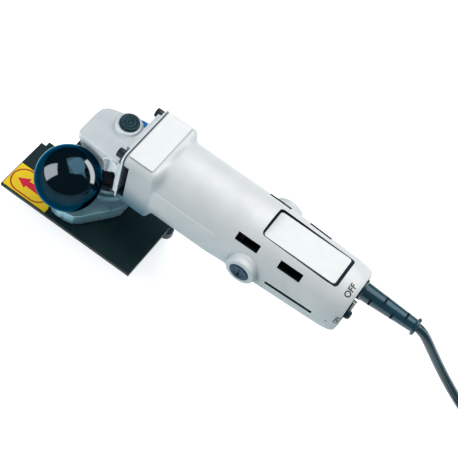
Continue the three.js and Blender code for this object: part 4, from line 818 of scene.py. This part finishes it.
def add_gear_head():
    plan = head_plan(0, 0, 0, 0)
    body = loft("gear_head", [[(x, y, HEAD_SKIRT) for x, y in head_plan(SKIRT_IN, 0.8, 4, 4)],
                              [(x, y, HEAD_WALL) for x, y in plan],
                              [(x, y, slope_top(x)) for x, y in plan]], head_metal)
    extras = [
        rod("lower", 75, 99, 17.5, "z", ON_SPINDLE, head_metal, 72),
        block("shoulder", (0, -19.5, 79), (HEAD_BACK, 19.5, 101), head_metal),
        spin("boss", [(101, 0), (101, 12), (116.4, 11.6), (117.4, 10.9), (117.4, 0)], "z", ON_LOCK,
             head_metal, 72),
    ]
    combine(body, extras, "UNION")
    cast(body, 0.5, 5)
    # The lip, the arch walls and the cheeks take the lighter casting colour: painted light and highlight.
    outline = arch_outline(ARCH_X, ARCH_CREST, LIP_RADIUS, HEAD_SKIRT + 0.2)
    lip = loft("lip", [[(x, near_wall(x, z) - proud, z) for x, z in outline] for proud in (-3, LIP_PROUD)],
               painted_lit_casting)
    combine(body, [lip], "UNION")
    outline = arch_outline(ARCH_X, ARCH_CREST, ARCH_RADIUS, ARCH_FLOOR)
    arch = loft("arch", [[(x, y, z) for x, z in outline] for y in (-ARCH_BACK, -40)], painted_lit_casting)
    combine(body, [arch])
    cheek = [(22.9, CHEEK_FLOOR), (22.9, CHEEK_TOP), (CHEEK_BEND, CHEEK_TOP)]
    for i in range(CHEEK_STEPS + 1):
        turn = math.radians(90 - 90 * i / CHEEK_STEPS)
        cheek.append((CHEEK_BEND + 8 * math.cos(turn), CHEEK_FLOOR + 10 * math.sin(turn)))
    combine(body, [loft("cheek", [[(x, y, z) for x, z in cheek] for y in ys], painted_lit_casting)
                   for ys in ((-ARCH_BACK, -CHEEK_INNER), (CHEEK_INNER, ARCH_BACK))], "UNION")
    flange = loft("flange", [motor_ring(x, half, BLOCK_CORNER) for x, half in (
        (22.7, 31.8), (23.1, 32.6), (23.9, BLOCK_HALF), (27.3, BLOCK_HALF), (27.7, 32.6))], head_metal)
    notches = []
    for side in (-1, 1):
        for top in (-1, 1):
            low, high = sorted((AXIS + top * NOTCH_INNER, AXIS + top * NOTCH_OUTER))
            notches.append(side_block("notch", side, (20, 26.1), (NOTCH_INNER, NOTCH_OUTER), (low, high),
                                      head_metal))
    combine(flange, notches)
    combine(body, [flange], "UNION")
    # The cutters give their dark grey to the cut walls: painted shade in the inner hollows and the lock
    # button's well.
    tools = [
        rod("chamber", 73, 104.8, 14.2, "z", ON_SPINDLE, painted_shade, 64),
        spin("room", [(6.5, 0), (6.5, 5.1), (12, 6.6), (22.2, 6.6), (22.2, 9.8), (30, 9.8), (30, 0)], "x",
             ON_MOTOR, painted_shade, 48),
        rod("well", 112.4, 119, 9, "z", ON_LOCK, painted_shade, 64),
    ]
    combine(body, tools)
    soften(body, 42)
    settle(body, "motor_unit", "head_casting", "gear_housing")


add_gear_head()


SCREW_OUT, SCREW_KNURLS = 26.5, 72


def screw_knurl(along, radius, turn):
    groove = radius > 4.1 and int(turn / (2 * math.pi) * SCREW_KNURLS) % 2
    return radius - 0.12 if groove else radius


def add_screws():
    head = rounded([(25.8, 0), (25.8, 4.2), (18.8, 4.2), (18.8, 2.3), (22.3, 2.1), (22.3, 0)], 0.35, 3)
    for i, (side, top) in enumerate(((-1, 1), (1, 1), (-1, -1), (1, -1)), 1):
        centre = (0, side * SCREW_OUT, AXIS + top * SCREW_OUT)
        screw = spin("socket_screw_%d" % i, head, "x", centre, screw_black, SCREW_KNURLS, 30, screw_knurl)
        combine(screw, [rod("stem", 25.5, 45, 2.4, "x", centre, screw_black, 32)], "UNION")
        soften(screw, 32)
        settle(screw, "motor_unit", "dark_steel", "flange_screw_%d" % i)


add_screws()


NECK_BORE, NECK_RADIUS, NECK_FOOT, NECK_TOP = 14.3, 17.5, 38, 74.7
GROOVES, GROOVE_PITCH = 28, 1


def add_neck():
    profile = [(NECK_FOOT, NECK_BORE), (NECK_FOOT, 17)]
    for i in range(GROOVES):
        z = NECK_FOOT + 0.5 + GROOVE_PITCH * i
        profile += [(z, NECK_RADIUS), (z + 0.6, NECK_RADIUS - 0.4)]
    profile += [(66.5, NECK_RADIUS), (NECK_TOP, NECK_RADIUS), (NECK_TOP, NECK_BORE)]
    # Black oxide steel; its dark colour also stands in for the shade under the gear head.
    neck = spin("threaded_neck", profile, "z", ON_SPINDLE, dark_steel, 96, 50)
    settle(neck, "motor_unit", "dark_steel", "bearing_neck")


add_neck()


# Brush caps

def add_brush_cap(side, name):
    profile = rounded([(34.7, 0), (34.7, 8.8), (40.2, 8.8), (40.2, 5.2), (39.7, 5), (39.7, 0)], 0.5, 4)
    cap = spin("brush_cap_look_" + name, profile, "-y" if side < 0 else "y", ON_BRUSHES, cap_plastic, 72)
    combine(cap, [side_block("slot", side, (154.1, 155.9), (38.6, 42), (100.4, 109.6), cap_plastic)])
    soften(cap, 34)
    settle(cap, "motor_unit", "black_plastic", "brush_cap_" + name)


add_brush_cap(-1, "near")
add_brush_cap(1, "far")


# Lock button

def add_lock_button():
    top, foot = 120.2, 115.2
    profile = rounded([(foot, 7.2), (foot, 8.7), (top - 0.5, 8.7), (top, 8), (top, 6.6), (top - 0.35, 6.3),
                       (top - 0.35, 4.4), (top, 4.1), (top, 3), (top - 0.4, 2.7), (top - 0.4, 1.4),
                       (top - 0.1, 1.1), (top - 0.1, 0)], 0.25, 3)
    ring = [(foot, 7.2)] + profile[1:-1] + [(top - 0.1, 0.01), (118.4, 0.01), (118.4, 7.2)]
    button = spin("lock_button_look", ring, "z", ON_LOCK, lock_plastic, 80, 30)
    settle(button, "lock", "black_plastic", "lock_button")


add_lock_button()


# Strain relief and switch lever

NOTCH_DEEP, NOTCH_WIDE, NOTCH_REACH = 1.8, 2, 12
NOTCH_PLACES = (254.4, 265, 275.6, 286.2)


def add_strain_relief():
    profile = [(230.8, 0), (230.8, 6.2), (239.8, 6.2), (239.8, 9.5), (243.6, 9.5), (243.6, 10.1), (246, 10.1),
               (246.6, 8.5), (295.6, 6.1), (296.2, 7.9), (297, 8.3), (298.6, 8.3), (299.3, 7.6), (299.3, 0)]
    boot = spin("strain_relief_look", rounded(profile, 0.5, 4), "x", ON_BOOT, rubber, 72)
    # The notch cutters give their dark grey to the notch walls: painted shade.
    tools = []
    for i, x in enumerate(NOTCH_PLACES):
        neck = 8.6 - 2.5 * (x - 243.3) / 53 - NOTCH_DEEP
        for side in (-1, 1):
            spans = [sorted((side * neck, side * NOTCH_REACH)), (-NOTCH_REACH, NOTCH_REACH)]
            across, up = reversed(spans) if i % 2 else spans
            tools.append(block("notch", (x, BOOT_SIDE + across[0], BOOT_HIGH + up[0]),
                               (x + NOTCH_WIDE, BOOT_SIDE + across[1], BOOT_HIGH + up[1]), painted_shade))
    combine(boot, tools)
    soften(boot, 34)
    settle(boot, "motor_unit", "black_rubber", "strain_relief")


add_strain_relief()


LEVER_FRAME = Matrix.Translation((0.2455, 0, 0.108)) @ Matrix.Rotation(math.radians(210), 4, "X")


def add_switch():
    lever = rod("switch_lever_look", -0.5, 12.7, 2.2, "y", (0, 0, 0), chrome, 48, 0.3)
    lever.data.transform(LEVER_FRAME)
    hub = rounded([(228, 0), (228, 2.4), (239.8, 2.4), (239.8, 3.2), (247.7, 3.2), (247.7, 0)], 0.5)
    combine(lever, [spin("hub", hub, "x", ON_SWITCH, chrome, 48)], "UNION")
    soften(lever, 34)
    settle(lever, "lever", "chrome", "switch_lever")
    sleeve = rounded([(8.7, 2.6), (8.7, 3.3), (10.2, 4.2), (14.8, 4.2), (16.5, 2.6), (16.7, 0.01), (13, 0.01),
                      (13, 2.6)], 0.8)
    tip = spin("switch_tip_look", sleeve, "y", (0, 0, 0), black_plastic, 48)
    tip.data.transform(LEVER_FRAME)
    settle(tip, "lever", "black_plastic", "switch_tip")


add_switch()


# Base: casting, ring, ball, guide knobs and labels

PLATE_TOP = 30.3
BALL_CENTRE, BALL_RADIUS, BALL_STEPS, BALL_MOUTH = 84.9, 29.1, 72, 7.4
RING_KNURLS, RING_KNURL_DEEP = 72, 0.9
MARKS, MARKS_PER_LONG, MARK_HALF = 60, 5, 0.17


def add_casting():
    plan = [(30, 29), (30, -20), (26, -27), (8, -51), (3, -55.5), (-4, -57), (-18, -57), (-22, -54),
            (-24, -48), (-30, -24), (-30, 29)]
    body = loft("base_casting_look", [[(x * (1 + grow / 40), y * (1 + grow / 60), z) for x, y in plan]
                                      for z, grow in ((PLATE_TOP, 0), (33, 0), (43, -1.2))], casting_metal)
    collar = spin("collar", [(36, 0), (36, 28.4), (42.5, 28), (46.5, 25.5), (46.5, 0)], "z", ON_SPINDLE,
                  casting_metal, 96)
    lobe = spin("lobe", [(32, 0), (32, 9.6), (43.1, 9), (43.1, 0)], "z", ON_HANDLE, casting_metal, 48)
    combine(body, [collar, lobe], "UNION")
    cast(body, 0.5, 6)
    tools = [rod("bore", 29, 48, 17.8, "z", ON_SPINDLE, casting_metal),
             rod("stud_hole", 32.7, 45, 5.3, "z", ON_HANDLE, casting_metal, 32),
             rod("clamp_hole", 15, 31, 3.3, "y", (0, 0, 37.5), casting_metal, 32),
             block("flat", (-40, -70, 25), (40, 40, PLATE_TOP), casting_metal)]
    combine(body, tools)
    soften(body, 42)
    settle(body, "base", "cast_aluminium", "base_casting")


add_casting()


def ring_knurl(along, radius, turn):
    if radius > 24 and 51.2 < along < 54.6:
        return radius - RING_KNURL_DEEP * abs(math.sin(turn * RING_KNURLS / 2))
    return radius


def add_depth_ring():
    profile = [(46.8, 17.8), (46.8, 24.1), (47.3, 24.5), (50.6, 24.5), (51, 24.1), (51.3, 24.5), (54.3, 24.5),
               (54.8, 24), (54.8, 17.8)]
    ring = spin("depth_ring_look", profile, "z", ON_SPINDLE, ring_metal, 288, 30, ring_knurl)
    settle(ring, "ring", "cast_aluminium", "depth_ring")
    vertices, faces = [], []
    for i in range(MARKS):
        turn = 2 * math.pi * i / MARKS
        high = 50.2 if i % MARKS_PER_LONG == 0 else 49
        side = Vector((-math.sin(turn), math.cos(turn)))
        out = Vector((math.cos(turn), math.sin(turn)))
        start = len(vertices)
        corners = ((24.2, 47.5), (24.56, 47.5), (24.56, high), (24.2, high))
        rings = [[(*(out * radius + side * across), z) for radius, z in corners]
                 for across in (-MARK_HALF, MARK_HALF)]
        vertices += rings[0] + rings[1]
        faces += [tuple(start + k for k in face) for face in ring_faces(rings)]
    marks = new_object("depth_marks", vertices, faces, print_grey)
    settle(marks, "ring", "black_plastic")


add_depth_ring()


def add_ball():
    profile = [(70.1, 0.01), (70.1, 5.3), (BALL_CENTRE - math.sqrt(BALL_RADIUS ** 2 - 36) + 0.4, 5.3)]
    start = math.asin(BALL_MOUTH / BALL_RADIUS)
    profile.append((BALL_CENTRE - BALL_RADIUS * math.cos(start), 7.0))
    for i in range(BALL_STEPS + 1):
        angle = start + (math.pi - start) * i / BALL_STEPS
        profile.append((BALL_CENTRE - BALL_RADIUS * math.cos(angle),
                        max(BALL_RADIUS * math.sin(angle), 0.01)))
    ball = spin("ball_handle", profile, "z", ON_HANDLE, ball_black, 128, 45)
    settle(ball, "base", "black_gloss", "ball_knob")
    stud = rod("handle_stud", 33, 69.8, 5, "z", ON_HANDLE, steel, 48, 0.5)
    combine(stud, [rod("nut", 43.3, 46.3, 8, "z", ON_HANDLE, steel, 6, 0.4)], "UNION")
    soften(stud, 32)
    settle(stud, "base", "steel", "ball_stud")


add_ball()


KNOB_PLACES = ((-38, 12), (67.5, 3))
KNOB_TOP, KNOB_LOW, KNOB_STUD = 20.7, 10.7, 2.4
FLUTES, FLUTE_DEEP = 12, 0.45


def fluted(along, radius, turn):
    if radius > 6 and 12 < along < 19.5:
        return radius - FLUTE_DEEP * (1 - abs(math.cos(turn * FLUTES / 2))) ** 2
    return radius


def add_knobs():
    grip = rounded([(KNOB_LOW, 0), (KNOB_LOW, 6.7), (KNOB_TOP, 6.7), (KNOB_TOP, 3.9)], 1.2, 5)
    profile = grip + [(KNOB_TOP, KNOB_STUD), (29, KNOB_STUD), (29, 0)]
    for number, (x, y) in enumerate(KNOB_PLACES, 1):
        knob = spin("guide_knob_%d" % number, profile, "z", (x, y, 0), lock_plastic, 96, 34, fluted)
        settle(knob, "knob_%d" % number, "black_plastic", "clamp_knob_%d" % number)


add_knobs()


TIE_WIDE, TIE_THICK, TIE_CORNER = 8, 1, 6


def add_cord_tie():
    """Strap of hook-and-loop tape round the turns of the coil."""
    middle = COIL_OUTER - COIL_PITCH * COIL_TURNS / 4
    half_wide = COIL_PITCH * COIL_TURNS / 4 + CORD_RADIUS + TIE_THICK
    top = CORD_FLOOR + COIL_PITCH + CORD_RADIUS + TIE_THICK
    centre = (COIL_X, BOOT_SIDE - COIL_OUTER - middle)
    rings = []
    for inset in (0, TIE_THICK):
        loop = rounded_box(-half_wide + inset, half_wide - inset, inset, top - inset, TIE_CORNER - inset)
        for x in ((-TIE_WIDE / 2, TIE_WIDE / 2) if inset == 0 else (TIE_WIDE / 2, -TIE_WIDE / 2)):
            rings.append([(centre[0] + x, centre[1] + y, z) for y, z in loop])
    tie = loft("cord_tie", rings, rubber, 40, closed=True)
    settle(tie, "motor_unit", "black_rubber")


add_cord_tie()


def stadium(centre, half_length, radius, steps=24):
    points = []
    for side in (1, -1):
        for i in range(steps + 1):
            turn = -side * math.pi / 2 + math.pi * i / steps
            points.append((centre[0] + side * half_length + radius * math.cos(turn),
                           centre[1] + radius * math.sin(turn)))
    return points


LABEL_LOW, LABEL_TOP, INK_SUNK = 30.3, 30.8, 0.02
OVAL_CENTRE, OVAL_HALF, OVAL_OUTER, OVAL_INNER = (-48.6, -47.7), 8, 12.7, 11.3


def add_labels():
    outline = [(-70, -61.5), (-22.6, -61.5), (-22.6, -57.1), (-30.6, -34), (-70, -34)]
    label = prism("direction_label_look", outline, LABEL_LOW, LABEL_TOP, label_yellow)
    edge(label, 0.1, 1)
    settle(label, "base", "label_yellow", "direction_label")
    low, high = LABEL_TOP - INK_SUNK, LABEL_TOP + 0.06
    rings = [[(x, y, z) for x, y in stadium(OVAL_CENTRE, OVAL_HALF, radius)]
             for radius, z in ((OVAL_INNER, low), (OVAL_OUTER, low), (OVAL_OUTER, high), (OVAL_INNER, high))]
    ring = loft("label_ring", rings, label_brown, 30, closed=True)
    settle(ring, "base", "label_yellow")
    arrow = [(-63, -48.6), (-52.4, -42.2), (-52.4, -45.4), (-36, -44.6), (-36, -51.4), (-52.4, -51.2),
             (-52.4, -54)]
    head = prism("label_arrow", arrow, low, LABEL_TOP + 0.08, label_red)
    settle(head, "base", "label_yellow")


add_labels()


def add_blue_patch():
    """Small blue patch on the gear head beside the flange."""
    outline = [(8.5, 22.6), (14.2, 22.9), (19.4, 18.2), (14.4, 17.2)]
    mark = loft("paint_mark", [[(x, y, slope_top(x) + lift) for x, y in outline] for lift in (-0.3, 0.1)],
                mark_blue)
    settle(mark, "motor_unit", "black_plastic")


add_blue_patch()


PRINT_THICK, PRINT_CUT, PRINT_RADIUS = 0.06, 1.0, 32


def add_print(name, text, height, place):
    """Printed letters: flat text cut into small faces and laid on the surface that place() describes."""
    curve = bpy.data.curves.new(name, "FONT")
    curve.body = text
    curve.align_x = "CENTER"
    curve.align_y = "CENTER"
    curve.size = height
    curve.offset = 0.02 * height
    flat = new_item(name, curve)
    bpy.context.view_layer.update()
    mesh = bpy.data.meshes.new_from_object(flat)
    bpy.data.objects.remove(flat)
    work = bmesh.new()
    work.from_mesh(mesh)
    bmesh.ops.triangulate(work, faces=work.faces)
    for axis in (0, 1):
        low = min(v.co[axis] for v in work.verts)
        high = max(v.co[axis] for v in work.verts)
        level = low + PRINT_CUT
        while level < high:
            point, normal = Vector((0, 0, 0)), Vector((0, 0, 0))
            point[axis], normal[axis] = level, 1
            bmesh.ops.bisect_plane(work, geom=work.verts[:] + work.edges[:] + work.faces[:], plane_co=point,
                                   plane_no=normal)
            level += PRINT_CUT
    back = bmesh.ops.duplicate(work, geom=work.verts[:] + work.edges[:] + work.faces[:])
    raised = {v for v in back["geom"] if isinstance(v, bmesh.types.BMVert)}
    for vertex in work.verts:
        lift = PRINT_THICK if vertex in raised else -PRINT_THICK
        vertex.co = Vector(place(vertex.co.x, vertex.co.y, lift)) * MM
    work.to_mesh(mesh)
    work.free()
    mesh.materials.clear()
    mesh.materials.append(print_grey)
    settle(new_item(name, mesh), "motor_unit", "black_plastic")


def on_tail(middle_x, middle_degrees):
    """Letters run round the tail, with their tops toward the gear head."""
    def place(along, up, lift):
        x = middle_x - up
        radius = tail_radius(x) + lift
        turn = math.radians(middle_degrees) - along / PRINT_RADIUS
        return (x, radius * math.cos(turn), AXIS + radius * math.sin(turn))
    return place


for name, text, height, x, degrees in (("off_print", "OFF", 7.4, 238.4, 110),
                                       ("on_print", "ON", 5, 242.3, 163.5), ("tail_dot", ".", 9, 233, 174.6)):
    add_print(name, text, height, on_tail(x, degrees))


# Solids of the frame that show as they are

PLAIN_SOLIDS = (
    (plate_black, 0.6, "guide_plate"), (plate_black, 0.5, "side_guide"),
    (dark_steel, 0.2, "casting_screw_1 casting_screw_2 armature_core cutter_head"),
    (dark_steel, 0.3, "field_core cutter_screw"), (dark_steel, 0.4, "base_clamp_screw"),
    (varnish, 1.5, "field_coil_front field_coil_rear"), (brass, None, "brush_holder_near brush_holder_far"),
    (carbon, 0.2, "carbon_brush_near carbon_brush_far"),
    (steel, None, "brush_spring_near brush_spring_far lock_spring"), (black_plastic, 0.5, "switch_body"),
    (black_plastic, 0.2, "fan"), (rubber, 0.8, "plug_body"), (brass, 0.2, "plug_blade_1 plug_blade_2"),
    (copper, None, "commutator"), (steel, 0.3, "armature_shaft spindle"), (steel, 0.2, "pinion lock_pin"),
    (steel, 0.4, "front_bearing rear_bearing spindle_bearing_upper spindle_bearing_lower"),
    (steel, 0.15, "crown_gear cutter_insert_1 cutter_insert_2"),
)


def dress_plain_solids():
    for material, bevel, names in PLAIN_SOLIDS:
        for name in names.split():
            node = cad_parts[name]
            node.data.materials.clear()
            node.data.materials.append(material)
            if bevel:
                edge(node, bevel)


dress_plain_solids()

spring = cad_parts["lock_spring"]
spring_low, spring_high = (pick(v.co.z for v in spring.data.vertices) for pick in (min, max))
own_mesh(spring)


def light_only(light, lit, blocking):
    """Limits a lamp to some objects, with shadows from others."""
    for kind, names in (("receiver_collection", lit), ("blocker_collection", blocking)):
        group = bpy.data.collections.new(light.name + "_" + kind)
        for name in names:
            group.objects.link(bpy.data.objects[name])
        setattr(light.light_linking, kind, group)


light_only(near_fill, ("gear_head", "depth_ring_look"), ("handle_stud",))
